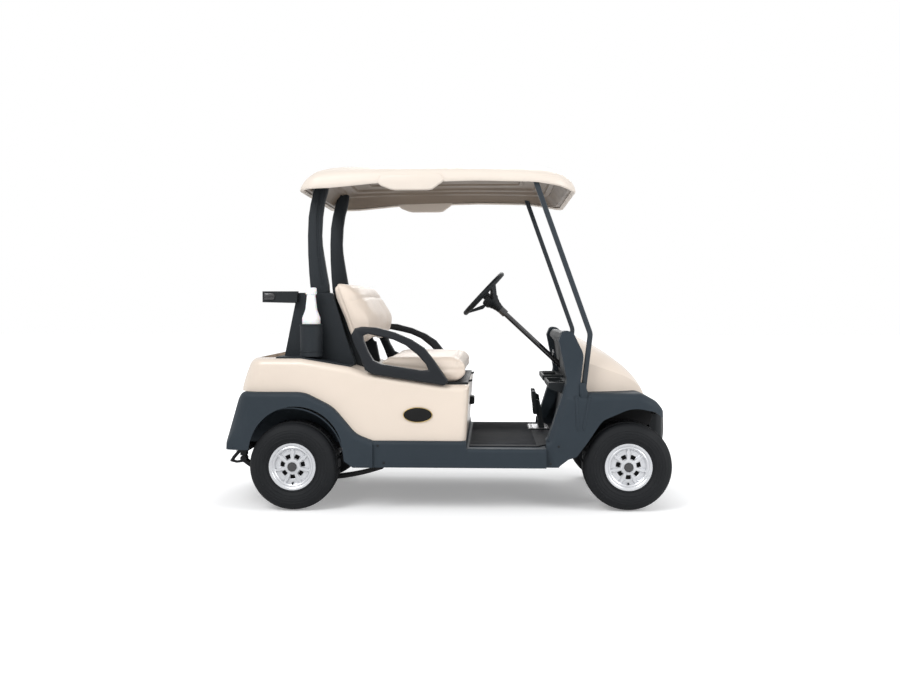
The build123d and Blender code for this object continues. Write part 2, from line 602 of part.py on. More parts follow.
# cowl sections from the dash to the nose: x, half width, crown height
COWL_SECTIONS = (
    (DASH_X, 460, 878),
    (772, 440, 812),
    (880, 405, 742),
    (968, 350, 655),
    (1032, 268, 545),
)
COWL_BASE_Z = 440


def cowl_form(inset):
    """The beige cowl as a filled form on arched sections."""
    with BuildPart() as form:
        for x, half, crown in COWL_SECTIONS:
            w = half - inset
            top = crown - inset
            shoulder = BONNET_Z + (top - BONNET_Z) * 0.55 if top > BONNET_Z else top - 40
            with BuildSketch(Plane.YZ.offset(x)):
                with BuildLine():
                    Polyline((-w, shoulder), (-w - 8, COWL_BASE_Z), (w + 8, COWL_BASE_Z), (w, shoulder))
                    ThreePointArc((w, shoulder), (w * 0.9, shoulder + (top - shoulder) * 0.5),
                                  (w * 0.62, shoulder + (top - shoulder) * 0.82))
                    ThreePointArc((w * 0.62, shoulder + (top - shoulder) * 0.82), (0, top),
                                  (-w * 0.62, shoulder + (top - shoulder) * 0.82))
                    ThreePointArc((-w * 0.62, shoulder + (top - shoulder) * 0.82),
                                  (-w * 0.9, shoulder + (top - shoulder) * 0.5), (-w, shoulder))
                make_face()
        loft()
    return form.part


with BuildPart() as front_cowl:
    add(cowl_form(0))
    add(cowl_form(WALL), mode=Mode.SUBTRACT)
    add(front_form(0), mode=Mode.SUBTRACT)
    add(front_moulding.part, mode=Mode.SUBTRACT)
    add(dash.part, mode=Mode.SUBTRACT)
save(front_cowl.part, "front_cowl")

BUMPER_HW = 208
BUMPER_SIDE = ((FRAME_FRONT_X, 300), (1140, 300), (BUMPER_NOSE_X, 349), (1150, 440), (1118, 452),
               (FRAME_FRONT_X, 452))
BUMPER_PLAN = ((FRAME_FRONT_X, BUMPER_HW), (BUMPER_NOSE_X - 40, BUMPER_HW), (BUMPER_NOSE_X, 60),
               (BUMPER_NOSE_X, -60), (BUMPER_NOSE_X - 40, -BUMPER_HW), (FRAME_FRONT_X, -BUMPER_HW))


def bumper_form(inset):
    """The front bumper as a filled form, inset by a wall."""
    with BuildPart() as form:
        add(side_prism(BUMPER_SIDE, (0, 20, 30, 30, 10, 0), -300, 300, inset=inset))
        add(plan_prism(BUMPER_PLAN, (0, 40, 150, 150, 40, 0), 250, 500, inset=inset), mode=Mode.INTERSECT)
    return form.part


with BuildPart() as front_bumper:
    add(bumper_form(0))
    add(bumper_form(WALL), mode=Mode.SUBTRACT)
    inner = BUMPER_HW - WALL
    add(block((FRAME_FRONT_X - 1, -inner, 300 + WALL), (FRAME_FRONT_X + WALL + 1, inner, 452 - WALL)),
        mode=Mode.SUBTRACT)
    add(front_moulding.part, mode=Mode.SUBTRACT)
save(front_bumper.part, "front_bumper")

# ---- Dash tray, column, wheel and pedals ---------------------------------------------------
TRAY_Y = ((-455, -90), (90, 455))       # a tray each side of the middle
TRAY_X = 516
TRAY_Z = (588, 634)
CUP_R = 38
CUP_DEPTH = 36
with BuildPart() as dash_trays:
    for y0, y1 in TRAY_Y:
        add(side_prism(((TRAY_X, TRAY_Z[0] + 18), (TRAY_X, TRAY_Z[1]), (660, TRAY_Z[1]), (660, TRAY_Z[0]),
                        (TRAY_X + 40, TRAY_Z[0])), (10, 6, 0, 0, 16), y0, y1))
    for side in (-1, 1):
        with Locations((TRAY_X + CUP_R + 8, side * 390, TRAY_Z[1] - CUP_DEPTH)):
            Cylinder(CUP_R, 2 * CUP_DEPTH, align=(Align.CENTER, Align.CENTER, Align.MIN), mode=Mode.SUBTRACT)
        y0, y1 = sorted((side * 110, side * 335))
        add(block((TRAY_X + 10, y0, TRAY_Z[0] + 22), (600, y1, TRAY_Z[1] + 1)), mode=Mode.SUBTRACT)
    add(dash.part, mode=Mode.SUBTRACT)
    add(front_moulding.part, mode=Mode.SUBTRACT)
    add(block((630, -500, 500), (700, 500, 700)), mode=Mode.SUBTRACT)
save(dash_trays.part, "dash_trays")

COLUMN_R = 15
COLUMN_TOP = -62            # along the column's axis from the middle of the rim
STEERING_AXIS = Vector(-cos(radians(COLUMN_ANGLE)), 0, sin(radians(COLUMN_ANGLE)))


def on_column(distance):
    """A point on the steering axis, from the middle of the rim towards the driver."""
    return tuple(Vector(*WHEEL_HUB) + STEERING_AXIS * distance)


with BuildPart() as steering_column:
    add(rod(on_column(-640), on_column(COLUMN_TOP - 90), COLUMN_R))
    add(rod(on_column(COLUMN_TOP - 110), on_column(COLUMN_TOP), COLUMN_R + 7))
    add(dash.part, mode=Mode.SUBTRACT)
    add(block((WHEEL_HUB[0], 100, 0), (700, 400, 2000)), mode=Mode.INTERSECT)
steering_column_piece = steering_column.part.solids().sort_by(Axis.X)[0]
save(Part(steering_column_piece.wrapped), "steering_column")

RIM_PLANE = Plane(origin=WHEEL_HUB, x_dir=(0, 1, 0), z_dir=STEERING_AXIS)
HUB_R = 46
SPOKES = 3
SPOKE_W = 34
with BuildPart() as steering_wheel:
    with BuildSketch(Plane(origin=WHEEL_HUB, x_dir=(0, 1, 0), z_dir=STEERING_AXIS.cross(Vector(0, 1, 0)))):
        with Locations((STEERING_R, 0)):
            Circle(STEERING_TUBE_R)
    revolve(axis=Axis(WHEEL_HUB, STEERING_AXIS))
    with BuildSketch(RIM_PLANE.offset(COLUMN_TOP + 1)):
        Circle(HUB_R)
    extrude(amount=26)
    with BuildSketch(RIM_PLANE.offset(COLUMN_TOP + 1)):
        Circle(COLUMN_R + 8)
    extrude(amount=50)
    for spoke in range(SPOKES):
        angle = radians(spoke * 360 / SPOKES)
        radial = Vector(0, 1, 0) * sin(angle) + STEERING_AXIS.cross(Vector(0, 1, 0)) * cos(angle)
        low = COLUMN_TOP + 4
        with BuildSketch(Plane(origin=WHEEL_HUB, x_dir=radial, z_dir=radial.cross(STEERING_AXIS))):
            with BuildLine():
                Polyline((20, low), (HUB_R + 20, low), (STEERING_R, -8), (STEERING_R, 4), (HUB_R, low + 16),
                         (20, low + 16), (20, low))
            make_face()
        extrude(amount=SPOKE_W / 2, both=True)
save(steering_wheel.part, "steering_wheel")

PEDAL_TOP_Z = FLOOR_Z + MAT_T
# pedal's middle y, width, height of its pad's middle, height of the pad
PEDALS = ((300, 90, 175, 90), (190, 60, 150, 130))
STEM_W = 26
PAD_T = 22
with BuildPart() as pedals:
    add(block((440, 140, PEDAL_TOP_Z), (560, 360, PEDAL_TOP_Z + 5)))
    for y, width, middle_z, height in PEDALS:
        add(side_prism(((500, PEDAL_TOP_Z + 2), (486, PEDAL_TOP_Z + middle_z - 20), (486, PEDAL_TOP_Z + middle_z + 20),
                        (506, PEDAL_TOP_Z + middle_z + 10), (534, PEDAL_TOP_Z + 2)),
                       (0, 20, 4, 6, 0), y - STEM_W / 2, y + STEM_W / 2))
        low, high = PEDAL_TOP_Z + middle_z - height / 2, PEDAL_TOP_Z + middle_z + height / 2
        add(side_prism(((490 - PAD_T, low), (482 - PAD_T, high), (482, high), (490, low)), 6,
                       y - width / 2, y + width / 2))
save(pedals.part, "pedals")

# ---- Seat ----------------------------------------------------------------------------------
SEAT_HW = 496
SEAT_REAR_X = -385
SEAT_FRONT_X = 121
SEAT_TOP_Z = 757
PAN_T = 10
PAN_GAP = GAP
HINGE_X = 126
HINGE_Z = 634
PAN_SLOPE = 60 / (2 - SEAT_REAR_X)
SEAT_LINE = ((SEAT_FRONT_X - 8, SEAT_Z + PAN_GAP), (2, SEAT_Z + PAN_GAP), (SEAT_REAR_X, 686 + PAN_GAP))
with BuildPart() as seat_pan:
    add(side_prism(SEAT_LINE + ((SEAT_REAR_X, 686 + PAN_GAP + PAN_T), (2, SEAT_Z + PAN_GAP + PAN_T),
                                (SEAT_FRONT_X - 8, SEAT_Z + PAN_GAP + PAN_T)),
                   0, -SEAT_HW + 10, SEAT_HW - 10))
    for side in (-1, 1):
        add(block((SEAT_FRONT_X - 12, side * 300 - 20, SEAT_Z + PAN_GAP + 1),
                  (HINGE_X, side * 300 + 20, SEAT_Z + PAN_GAP + PAN_T)))
        add(rod((HINGE_X, side * 300 - 20, HINGE_Z), (HINGE_X, side * 300 + 20, HINGE_Z), 5))
save(seat_pan.part, "seat_pan")

CUSHION_REAR_X = SEAT_REAR_X + 25   # leaves room for the backrest as the seat lifts
PAN_TOP = SEAT_Z + PAN_GAP + PAN_T
with BuildPart() as seat_cushion:
    add(side_prism(((80, PAN_TOP), (SEAT_FRONT_X, 668), (SEAT_FRONT_X, 735), (80, SEAT_TOP_Z),
                    (-60, SEAT_TOP_Z + 2), (CUSHION_REAR_X, SEAT_TOP_Z - 4),
                    (CUSHION_REAR_X, PAN_TOP + (2 - CUSHION_REAR_X) * PAN_SLOPE), (2, PAN_TOP)),
                   (20, 25, 30, 60, 60, 60, 0, 0), -SEAT_HW, SEAT_HW))
    fillet(seat_cushion.edges().filter_by(lambda e: abs(abs(e.center().Y) - SEAT_HW) < 1
                                          and e.center().Z > SEAT_TOP_Z - 30), 14)
save(seat_cushion.part, "seat_cushion")

BACK_HW = 482
BACK_SIDE = ((-394, 822), (-346, 868), (-352, 960), (-440, 1110), (-482, 1152), (-560, 1152),
             (-572, 1110), (-450, 812))
with BuildPart() as seat_back:
    add(side_prism(BACK_SIDE, (20, 40, 80, 60, 36, 20, 30, 20), -BACK_HW, BACK_HW))
    fillet(seat_back.edges().filter_by(lambda e: abs(abs(e.center().Y) - BACK_HW) < 1
                                       and e.center().X > -470), 30)
save(seat_back.part, "seat_back")

# ---- Bag tower, rack, bottles --------------------------------------------------------------
TOWER_WALL = 8
TOWER_TOP_Z = 1087
TOWER_SIDE = ((-834, DECK_Z - 40), (-834, DECK_Z + 6), (-778, 1030), (-778, TOWER_TOP_Z), (-585, TOWER_TOP_Z),
              (-474, 727), (-474, 680))
with BuildPart() as bag_tower:
    add(side_prism(TOWER_SIDE, (0, 20, 20, 14, 14, 30, 0), -TOWER_HW, TOWER_HW))
    add(side_prism(((-900, DECK_Z - 40), (-900, TOWER_TOP_Z - TOWER_WALL), (-595, TOWER_TOP_Z - TOWER_WALL),
                    (-484, 727), (-484, 660)), (0, 0, 14, 30, 0), -TOWER_HW + TOWER_WALL, TOWER_HW - TOWER_WALL),
        mode=Mode.SUBTRACT)
    add(side_prism(((-850, DECK_Z - 30), (-850, DECK_Z + 8), (-724, DECK_Z + 8), (-474, 722), (-474, 690)),
                   (0, 0, 60, 0, 0), -512, 512))
    add(block((-900, -TOWER_HW + 60, 600), (-484, TOWER_HW - 60, DECK_Z + 20)), mode=Mode.SUBTRACT)
    add(body_form(0), mode=Mode.SUBTRACT)
tower_piece = max(bag_tower.part.solids(), key=lambda s: s.volume)
save(Part(tower_piece.wrapped), "bag_tower")

with BuildPart() as seat_support:
    for side in (-1, 1):
        add(side_prism(((-592, 1090), (-560, 1098), (-440, 826), (-415, 700), (-478, 700)), 0,
                       *sorted((side * 250, side * 300))))
    add(seat_back.part, mode=Mode.SUBTRACT)
    add(bag_tower.part, mode=Mode.SUBTRACT)
    add(body_form(0), mode=Mode.SUBTRACT)
save(seat_support.part, "seat_support")

RACK_REAR_X = -942
RACK_ROOT_X = -760          # where its arms end, beside the tower
RACK_Z = (1038, 1094)
RACK_BAR = 40
with BuildPart() as bag_rack:
    add(block((RACK_REAR_X, -TOWER_HW - RACK_BAR, RACK_Z[0]), (RACK_ROOT_X, TOWER_HW + RACK_BAR, RACK_Z[1])))
    fillet(bag_rack.edges().filter_by(Axis.Z).group_by(Axis.X)[0], 18)
    add(block((RACK_REAR_X + RACK_BAR, -TOWER_HW, RACK_Z[0] - 1), (RACK_ROOT_X + 1, TOWER_HW, RACK_Z[1] + 1)),
        mode=Mode.SUBTRACT)
save(bag_rack.part, "bag_rack")

BOTTLE_X = -682
BOTTLE_Y = 450
HOLDER_R = 57
HOLDER_WALL = 4
HOLDER_Z = (DECK_Z + 8, 928)
BOTTLE_R = 46
with BuildPart() as bottle_holders:
    for side in (-1, 1):
        with BuildSketch(Plane.XY.offset(HOLDER_Z[0])):
            with Locations((BOTTLE_X, side * BOTTLE_Y)):
                Circle(HOLDER_R)
        extrude(amount=HOLDER_Z[1] - HOLDER_Z[0])
        with BuildSketch(Plane.XY.offset(HOLDER_Z[0])):
            with Locations((BOTTLE_X, side * (BOTTLE_Y + TOWER_HW) / 2)):
                Rectangle(30, BOTTLE_Y - TOWER_HW)
        extrude(amount=HOLDER_Z[1] - HOLDER_Z[0] - 30)
        with BuildSketch(Plane.XY.offset(HOLDER_Z[0] + HOLDER_WALL)):
            with Locations((BOTTLE_X, side * BOTTLE_Y)):
                Circle(HOLDER_R - HOLDER_WALL)
        extrude(amount=HOLDER_Z[1], mode=Mode.SUBTRACT)
save(bottle_holders.part, "bottle_holders")

# bottle outline: radius, height above the holder's floor
BOTTLE_LINE = ((0, 0), (BOTTLE_R, 0), (BOTTLE_R, 190), (30, 232), (22, 300), (26, 342), (0, 342))
with BuildPart() as sand_bottles:
    for side in (-1, 1):
        foot = (BOTTLE_X, side * BOTTLE_Y, HOLDER_Z[0] + HOLDER_WALL)
        with BuildSketch(Plane(origin=foot, x_dir=(1, 0, 0), z_dir=(0, -1, 0))):
            with BuildLine():
                FilletPolyline(*BOTTLE_LINE, radius=(0, 8, 24, 24, 20, 8, 0), close=True)
            make_face()
        revolve(axis=Axis(foot, (0, 0, 1)))
save(sand_bottles.part, "sand_bottles")

# ---- Armrests ------------------------------------------------------------------------------
ARMREST_Y = (514, 562)
ARMREST_LINE = ((-387, 655), (2, SEAT_Z - 30), (26, 606), (8, 668), (-73, 776), (-223, 880),
                (-425, 918), (-468, 882))
ARMREST_HOLE = ((-338, 716), (-18, 668), (-96, 752), (-236, 840), (-402, 866))
with BuildPart() as armrest_right:
    add(side_prism(ARMREST_LINE, (20, 30, 6, 30, 120, 160, 24, 14), -ARMREST_Y[1], -ARMREST_Y[0]))
    add(side_prism(ARMREST_HOLE, (14, 14, 120, 120, 14), -ARMREST_Y[1] - 1, -ARMREST_Y[0] + 1),
        mode=Mode.SUBTRACT)
    fillet(armrest_right.edges().filter_by(lambda e: abs(e.center().Y + ARMREST_Y[1]) < 0.1), 8)
    add(body_form(0), mode=Mode.SUBTRACT)
save(armrest_right.part, "armrest_right")
save(mirror(armrest_right.part, about=Plane.XZ), "armrest_left")

# ---- Roof and its supports -----------------------------------------------------------------
ROOF_REAR_X = -732
ROOF_FRONT_X = 652
ROOF_EDGE_Z = 1630          # lower edge half way along
ROOF_PLAN_R = (150, 110, 110, 150)


def roof_form(inset, open_below=0):
    """The roof as a filled form, inset by a wall."""
    rear, front = ROOF_REAR_X + inset, ROOF_FRONT_X - inset
    half = ROOF_HW - inset
    top = ROOF_TOP - inset
    with BuildPart() as form:
        with BuildSketch(Plane.XY.offset(1400)):
            with BuildLine():
                FilletPolyline((front, half - 30), (rear, half), (rear, -half), (front, -half + 30),
                               radius=ROOF_PLAN_R, close=True)
            make_face()
        extrude(amount=500)
        with BuildSketch(Plane.XZ.offset(-700)):
            with BuildLine():
                ThreePointArc((-760, 1597 - open_below), (100, ROOF_EDGE_Z - open_below), (700, 1566 - open_below))
                Polyline((700, 1566 - open_below), (front + 4, 1612 - inset), (front - 12, 1645 - inset))
                ThreePointArc((front - 12, 1645 - inset), (front - 52, top - 50), (front - 150, top - 14))
                ThreePointArc((front - 150, top - 14), (-60, top), (rear + 110, top - 20))
                ThreePointArc((rear + 110, top - 20), (rear + 34, top - 52), (rear - 8, top - 108))
                Line((rear - 8, top - 108), (-760, 1597 - open_below))
            make_face()
        extrude(amount=1400, mode=Mode.INTERSECT)
        with BuildSketch(Plane.YZ.offset(-800)):
            with BuildLine():
                Polyline((half, 1662 - inset), (half + 5, 1400), (-half - 5, 1400), (-half, 1662 - inset))
                ThreePointArc((-half, 1662 - inset), (-half + 20, top - 73), (-half + 70, top - 57))
                ThreePointArc((-half + 70, top - 57), (0, top), (half - 70, top - 57))
                ThreePointArc((half - 70, top - 57), (half - 20, top - 73), (half, 1662 - inset))
            make_face()
        extrude(amount=1600, mode=Mode.INTERSECT)
    return form.part


HANDLE_LINE = ((-325, ROOF_EDGE_Z + 6), (-252, 1590), (-74, 1590), (-8, ROOF_EDGE_Z + 6), (-20, ROOF_EDGE_Z + 30),
               (-310, ROOF_EDGE_Z + 30))
with BuildPart() as roof:
    add(roof_form(0))
    for side in both_sides(side_prism(HANDLE_LINE, (10, 16, 16, 10, 0, 0), -ROOF_HW + 2, -ROOF_HW + 40)):
        add(side)
    add(roof_form(ROOF_WALL, 100), mode=Mode.SUBTRACT)
    for side in both_sides(side_prism(HANDLE_LINE, (10, 16, 16, 10, 0, 0), -ROOF_HW + 6, -ROOF_HW + 30)):
        add(side)
save(roof.part, "roof")

roof_void = roof_form(ROOF_WALL + GAP, 100)
under_roof = block((-900, -700, 0), (900, 700, 1570))
PILLAR_W = 44               # across the cart
PILLAR_ROUND = 12
with BuildPart() as pillar_right:
    with BuildSketch(Plane.XZ.offset(PILLAR_Y - PILLAR_W / 2)):
        with BuildLine():
            ThreePointArc((-698, TOWER_TOP_Z), (-713, 1400), (-672, 1800))
            Line((-672, 1800), (-608, 1800))
            ThreePointArc((-608, 1800), (-634, 1400), (-606, TOWER_TOP_Z))
            Line((-606, TOWER_TOP_Z), (-698, TOWER_TOP_Z))
        make_face()
    extrude(amount=PILLAR_W)
    fillet(pillar_right.edges().filter_by(lambda e: e.length > 600), PILLAR_ROUND)
pillar_right_piece = shared(pillar_right.part, joined(roof_void, under_roof))
save(pillar_right_piece, "roof_pillar_right")
save(mirror(pillar_right_piece, about=Plane.XZ), "roof_pillar_left")

STRUT_PATH = ((684, -STRUT_Y, BONNET_Z), (718, -STRUT_Y, 881), (420, -STRUT_Y, 1710))
with BuildPart() as strut_right:
    with BuildLine() as strut_path:
        FilletPolyline(*STRUT_PATH, radius=60)
    with BuildSketch(Plane(origin=strut_path.line @ 0, x_dir=(0, 1, 0), z_dir=strut_path.line % 0)):
        RectangleRounded(STRUT_W, STRUT_W, 4)
    sweep()
    add(block((0, -700, BONNET_Z), (900, 700, 1800)), mode=Mode.INTERSECT)
strut_right_piece = shared(strut_right.part, joined(roof_void, under_roof))
save(strut_right_piece, "roof_strut_right")
save(mirror(strut_right_piece, about=Plane.XZ), "roof_strut_left")
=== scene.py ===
"""Dresses the golf cart: moulded beige body, dark grained plastic, vinyl seats, tyres and small fittings.
Metres, +X forward, +Y to the driver's side, +Z up."""
import json
from math import atan2, cos, hypot, pi, radians, sin, tau

import bpy
from mathutils import Matrix, Vector

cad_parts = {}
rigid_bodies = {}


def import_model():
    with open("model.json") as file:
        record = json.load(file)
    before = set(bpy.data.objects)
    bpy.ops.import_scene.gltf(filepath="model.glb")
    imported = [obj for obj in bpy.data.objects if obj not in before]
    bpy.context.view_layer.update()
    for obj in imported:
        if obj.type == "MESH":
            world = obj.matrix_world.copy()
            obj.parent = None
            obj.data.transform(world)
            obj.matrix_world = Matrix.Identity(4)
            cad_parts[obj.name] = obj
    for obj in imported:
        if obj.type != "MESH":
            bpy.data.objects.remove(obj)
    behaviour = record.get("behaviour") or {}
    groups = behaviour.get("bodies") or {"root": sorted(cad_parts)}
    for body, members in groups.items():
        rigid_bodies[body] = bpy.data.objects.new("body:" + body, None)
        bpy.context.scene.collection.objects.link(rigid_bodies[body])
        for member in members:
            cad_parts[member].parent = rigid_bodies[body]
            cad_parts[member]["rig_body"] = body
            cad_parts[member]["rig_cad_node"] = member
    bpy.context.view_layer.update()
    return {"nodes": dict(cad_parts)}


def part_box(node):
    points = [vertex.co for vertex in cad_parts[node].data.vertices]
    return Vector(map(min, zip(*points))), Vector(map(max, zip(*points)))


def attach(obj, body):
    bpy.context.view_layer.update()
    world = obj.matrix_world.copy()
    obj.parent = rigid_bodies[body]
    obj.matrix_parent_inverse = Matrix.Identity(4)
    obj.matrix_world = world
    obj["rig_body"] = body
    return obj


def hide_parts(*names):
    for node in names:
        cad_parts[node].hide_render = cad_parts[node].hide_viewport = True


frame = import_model()

REAR_AXLE_X, FRONT_AXLE_X, AXLE_Z = -0.756, 0.908, 0.222
REAR_HUB_Y, FRONT_HUB_Y = 0.489, 0.438
STEERING_HUB = (0.1865, 0.250, 1.091)
COLUMN_DEGREES = 43             # the steering column's slope
SPRING_Y = 0.345
BOTTLE_X, BOTTLE_Y = -0.682, 0.450


# ---- Materials -----------------------------------------------------------------------------
def material(name):
    """A new material, its node tree, its shader and its Object coordinates."""
    mat = bpy.data.materials.new(name)
    mat.use_nodes = True
    tree = mat.node_tree
    shader = tree.nodes["Principled BSDF"]
    place = tree.nodes.new("ShaderNodeTexCoord").outputs["Object"]
    return mat, tree, shader, place


def feed(tree, node, **inputs):
    """Sets or links a node's inputs, named with _ for a space."""
    for name, given in inputs.items():
        socket = node.inputs[name.replace("_", " ")]
        if isinstance(given, bpy.types.NodeSocket):
            tree.links.new(given, socket)
        else:
            socket.default_value = given
    return node


def noise(tree, place, scale, detail=3.0, rough=0.5):
    """A noise pattern from 0 to 1."""
    node = tree.nodes.new("ShaderNodeTexNoise")
    return feed(tree, node, Scale=scale, Detail=detail, Roughness=rough, Vector=place).outputs["Fac"]


def ramp(tree, value, *stops):
    """A colour ramp over (position, colour) stops."""
    node = tree.nodes.new("ShaderNodeValToRGB")
    while len(node.color_ramp.elements) < len(stops):
        node.color_ramp.elements.new(0.5)
    for element, (position, colour) in zip(node.color_ramp.elements, stops):
        element.position = position
        element.color = (*colour, 1)
    return feed(tree, node, Fac=value).outputs["Color"]


def ranged(tree, value, from_low, from_high, to_low, to_high, kind="LINEAR"):
    """Maps one range of a value onto another."""
    node = tree.nodes.new("ShaderNodeMapRange")
    node.interpolation_type = kind
    feed(tree, node, Value=value, From_Min=from_low, From_Max=from_high, To_Min=to_low, To_Max=to_high)
    return node.outputs["Result"]


def spread(tree, value, low, high):
    """Maps the middle of a 0 to 1 pattern onto a range."""
    return ranged(tree, value, 0.3, 0.7, low, high)


def raise_by(tree, shader, height, distance, strength=1.0, under=None):
    """Bump from a height pattern, over an earlier bump if there is one."""
    node = feed(tree, tree.nodes.new("ShaderNodeBump"), Strength=strength, Distance=distance, Height=height)
    if under is not None:
        feed(tree, node, Normal=under)
    feed(tree, shader, Normal=node.outputs["Normal"])
    return node.outputs["Normal"]


def tint(colour, factor):
    """A colour made lighter or darker."""
    return tuple(min(1.0, c * factor) for c in colour)


def moulded(name, colour, rough, grain=0.0, grain_scale=900, coat=0.0, mottle=0.06, spec=0.5, metal=0.0):
    """Moulded plastic, paint or metal with a soft change of colour and roughness, and a fine grain."""
    mat, tree, shader, place = material(name)
    darker, lighter = tint(colour, 1 - mottle), tint(colour, 1 + mottle)
    tones = ramp(tree, noise(tree, place, 3.0), (0.3, darker), (0.7, lighter))
    dulled = spread(tree, noise(tree, place, 14.0), rough - 0.05, rough + 0.05)
    feed(tree, shader, Base_Color=tones, Roughness=dulled, Metallic=metal,
         Coat_Weight=coat, Coat_Roughness=0.12, Specular_IOR_Level=spec)
    if grain:
        raise_by(tree, shader, noise(tree, place, grain_scale, 2.0), grain, 0.6)
    return mat


body_beige = moulded("body beige", (0.70, 0.605, 0.515), 0.34, coat=0.25, mottle=0.025)
roof_beige = moulded("roof beige", (0.70, 0.625, 0.55), 0.46, coat=0.04, mottle=0.03)
# the roof lining's dark brown is partly its own colour and partly painted shade under the roof
roof_inside_painted_shade = moulded("roof inside with painted shade", (0.23, 0.185, 0.145), 0.46, coat=0.08, mottle=0.08)
dark_moulding = moulded("grained dark plastic", (0.022, 0.031, 0.040), 0.60, grain=0.0006, spec=0.22)
black_plastic = moulded("black plastic", (0.010, 0.0125, 0.0145), 0.52, grain=0.0004, spec=0.25)
armrest_plastic = moulded("armrest plastic", (0.009, 0.011, 0.014), 0.38, grain=0.0003, spec=0.28)
tower_plastic = moulded("tower plastic", (0.014, 0.018, 0.022), 0.55, grain=0.0005, spec=0.25)
frame_paint = moulded("black chassis paint", (0.008, 0.008, 0.009), 0.55, 0.0003, 300, spec=0.25)
strut_paint = moulded("satin strut paint", (0.022, 0.030, 0.038), 0.40, coat=0.15, spec=0.3)
column_gloss = moulded("gloss black", (0.012, 0.012, 0.014), 0.2, coat=0.8)
battery_case = moulded("battery case", (0.03, 0.03, 0.03), 0.55, grain=0.0005)
steel = moulded("bare steel", (0.42, 0.42, 0.43), 0.35, 0.0002, 500, metal=1.0)
wheel_silver = moulded("silver wheel paint", (0.60, 0.61, 0.63), 0.30, coat=0.3, metal=0.55)
tyre_rubber = moulded("tyre rubber", (0.009, 0.010, 0.0115), 0.66, 0.0008, 400, spec=0.2)
plaque_black = moulded("plaque black", (0.006, 0.006, 0.006), 0.40, spec=0.2)
gold = moulded("gold edge", (0.55, 0.40, 0.16), 0.3, metal=0.9)


def vinyl(name, colour):
    """Smooth vinyl with a fine leather grain and soft creases."""
    mat, tree, shader, place = material(name)
    tones = ramp(tree, noise(tree, place, 5.0), (0.3, tint(colour, 0.94)), (0.7, tint(colour, 1.04)))
    dulled = spread(tree, noise(tree, place, 30.0), 0.36, 0.46)
    feed(tree, shader, Base_Color=tones, Roughness=dulled, Sheen_Weight=0.08)
    cells = feed(tree, tree.nodes.new("ShaderNodeTexVoronoi"), Scale=420, Vector=place)
    cells.feature = "DISTANCE_TO_EDGE"
    grain = raise_by(tree, shader, cells.outputs["Distance"], 0.0006, 0.5)
    raise_by(tree, shader, noise(tree, place, 18.0, 4.0), 0.004, 0.25, grain)
    return mat


seat_vinyl = vinyl("seat vinyl", (0.70, 0.60, 0.51))


def ribbed_rubber(name, colour):
    """Floor rubber with lengthwise ribs."""
    mat, tree, shader, place = material(name)
    tones = ramp(tree, noise(tree, place, 9.0), (0.3, tint(colour, 0.8)), (0.7, tint(colour, 1.25)))
    feed(tree, shader, Base_Color=tones, Roughness=0.7, Specular_IOR_Level=0.2)
    ribs = feed(tree, tree.nodes.new("ShaderNodeTexWave"), Scale=22, Vector=place)
    ribs.bands_direction = "Y"
    under = raise_by(tree, shader, ribs.outputs["Fac"], 0.003, 0.8)
    raise_by(tree, shader, noise(tree, place, 700.0), 0.0004, 0.5, under)
    return mat


mat_rubber = ribbed_rubber("ribbed floor rubber", (0.016, 0.018, 0.022))
SAND_TOP, SAND_FADE = 0.93, 0.04          # where the bottle turns lighter above its sand


def bottle_plastic():
    """Milky plastic with sand showing faintly through its lower part."""
    mat, tree, shader, place = material("milky bottle")
    split = feed(tree, tree.nodes.new("ShaderNodeSeparateXYZ"), Vector=place)
    above_sand = ranged(tree, split.outputs["Z"], SAND_TOP, SAND_TOP + SAND_FADE, 0.0, 1.0)
    tones = ramp(tree, above_sand, (0.0, (0.80, 0.80, 0.80)), (1.0, (0.90, 0.91, 0.94)))
    dulled = spread(tree, noise(tree, place, 25.0), 0.28, 0.4)
    feed(tree, shader, Base_Color=tones, Roughness=dulled, Subsurface_Weight=0.3, Subsurface_Scale=0.01)
    return mat


bottle_white = bottle_plastic()

FINISHES = {
    body_beige: ("rear_body", "front_cowl"),
    roof_beige: ("roof",),
    dark_moulding: ("rear_fender", "floor_pan", "front_moulding"),
    armrest_plastic: ("armrest_left", "armrest_right"),
    # the front bumper is black as painted shade: it stands for the shadow inside the nose
    black_plastic: ("dash", "dash_trays", "direction_switch", "seat_support", "bag_rack", "pedals",
                    "front_bumper", "steering_wheel", "seat_pan"),
    tower_plastic: ("bag_tower", "bottle_holders", "roof_pillar_left", "roof_pillar_right"),
    frame_paint: ("frame_rails", "rear_axle", "rear_leaf_springs", "front_suspension", "knuckle_left",
                  "knuckle_right"),
    strut_paint: ("roof_strut_left", "roof_strut_right"),
    column_gloss: ("steering_column",),
    battery_case: ("battery_pack",),
    steel: ("steering_rack", "tie_rod"),
    wheel_silver: ("rim_rear_left", "rim_rear_right", "rim_front_left", "rim_front_right"),
    tyre_rubber: ("tyre_rear_left", "tyre_rear_right", "tyre_front_left", "tyre_front_right"),
    plaque_black: ("side_plaques",),
    seat_vinyl: ("seat_cushion", "seat_back"),
    mat_rubber: ("floor_mat",),
    bottle_white: ("sand_bottles",),
}


def dress(obj, finish):
    """Gives a piece one finish all over."""
    obj.data.materials.clear()
    obj.data.materials.append(finish)


for node_finish, node_names in FINISHES.items():
    for node_name in node_names:
        dress(frame["nodes"][node_name], node_finish)


# ---- Making pieces -------------------------------------------------------------------------
MERGE = 1e-5                # points nearer than this are one point
RING_STEPS = 40


def alone(obj=None):
    """Object mode with nothing selected but obj."""
    if bpy.context.object and bpy.context.object.mode != "OBJECT":
        bpy.ops.object.mode_set(mode="OBJECT")
    bpy.ops.object.select_all(action="DESELECT")
    if obj:
        obj.select_set(True)
        bpy.context.view_layer.objects.active = obj
    return obj


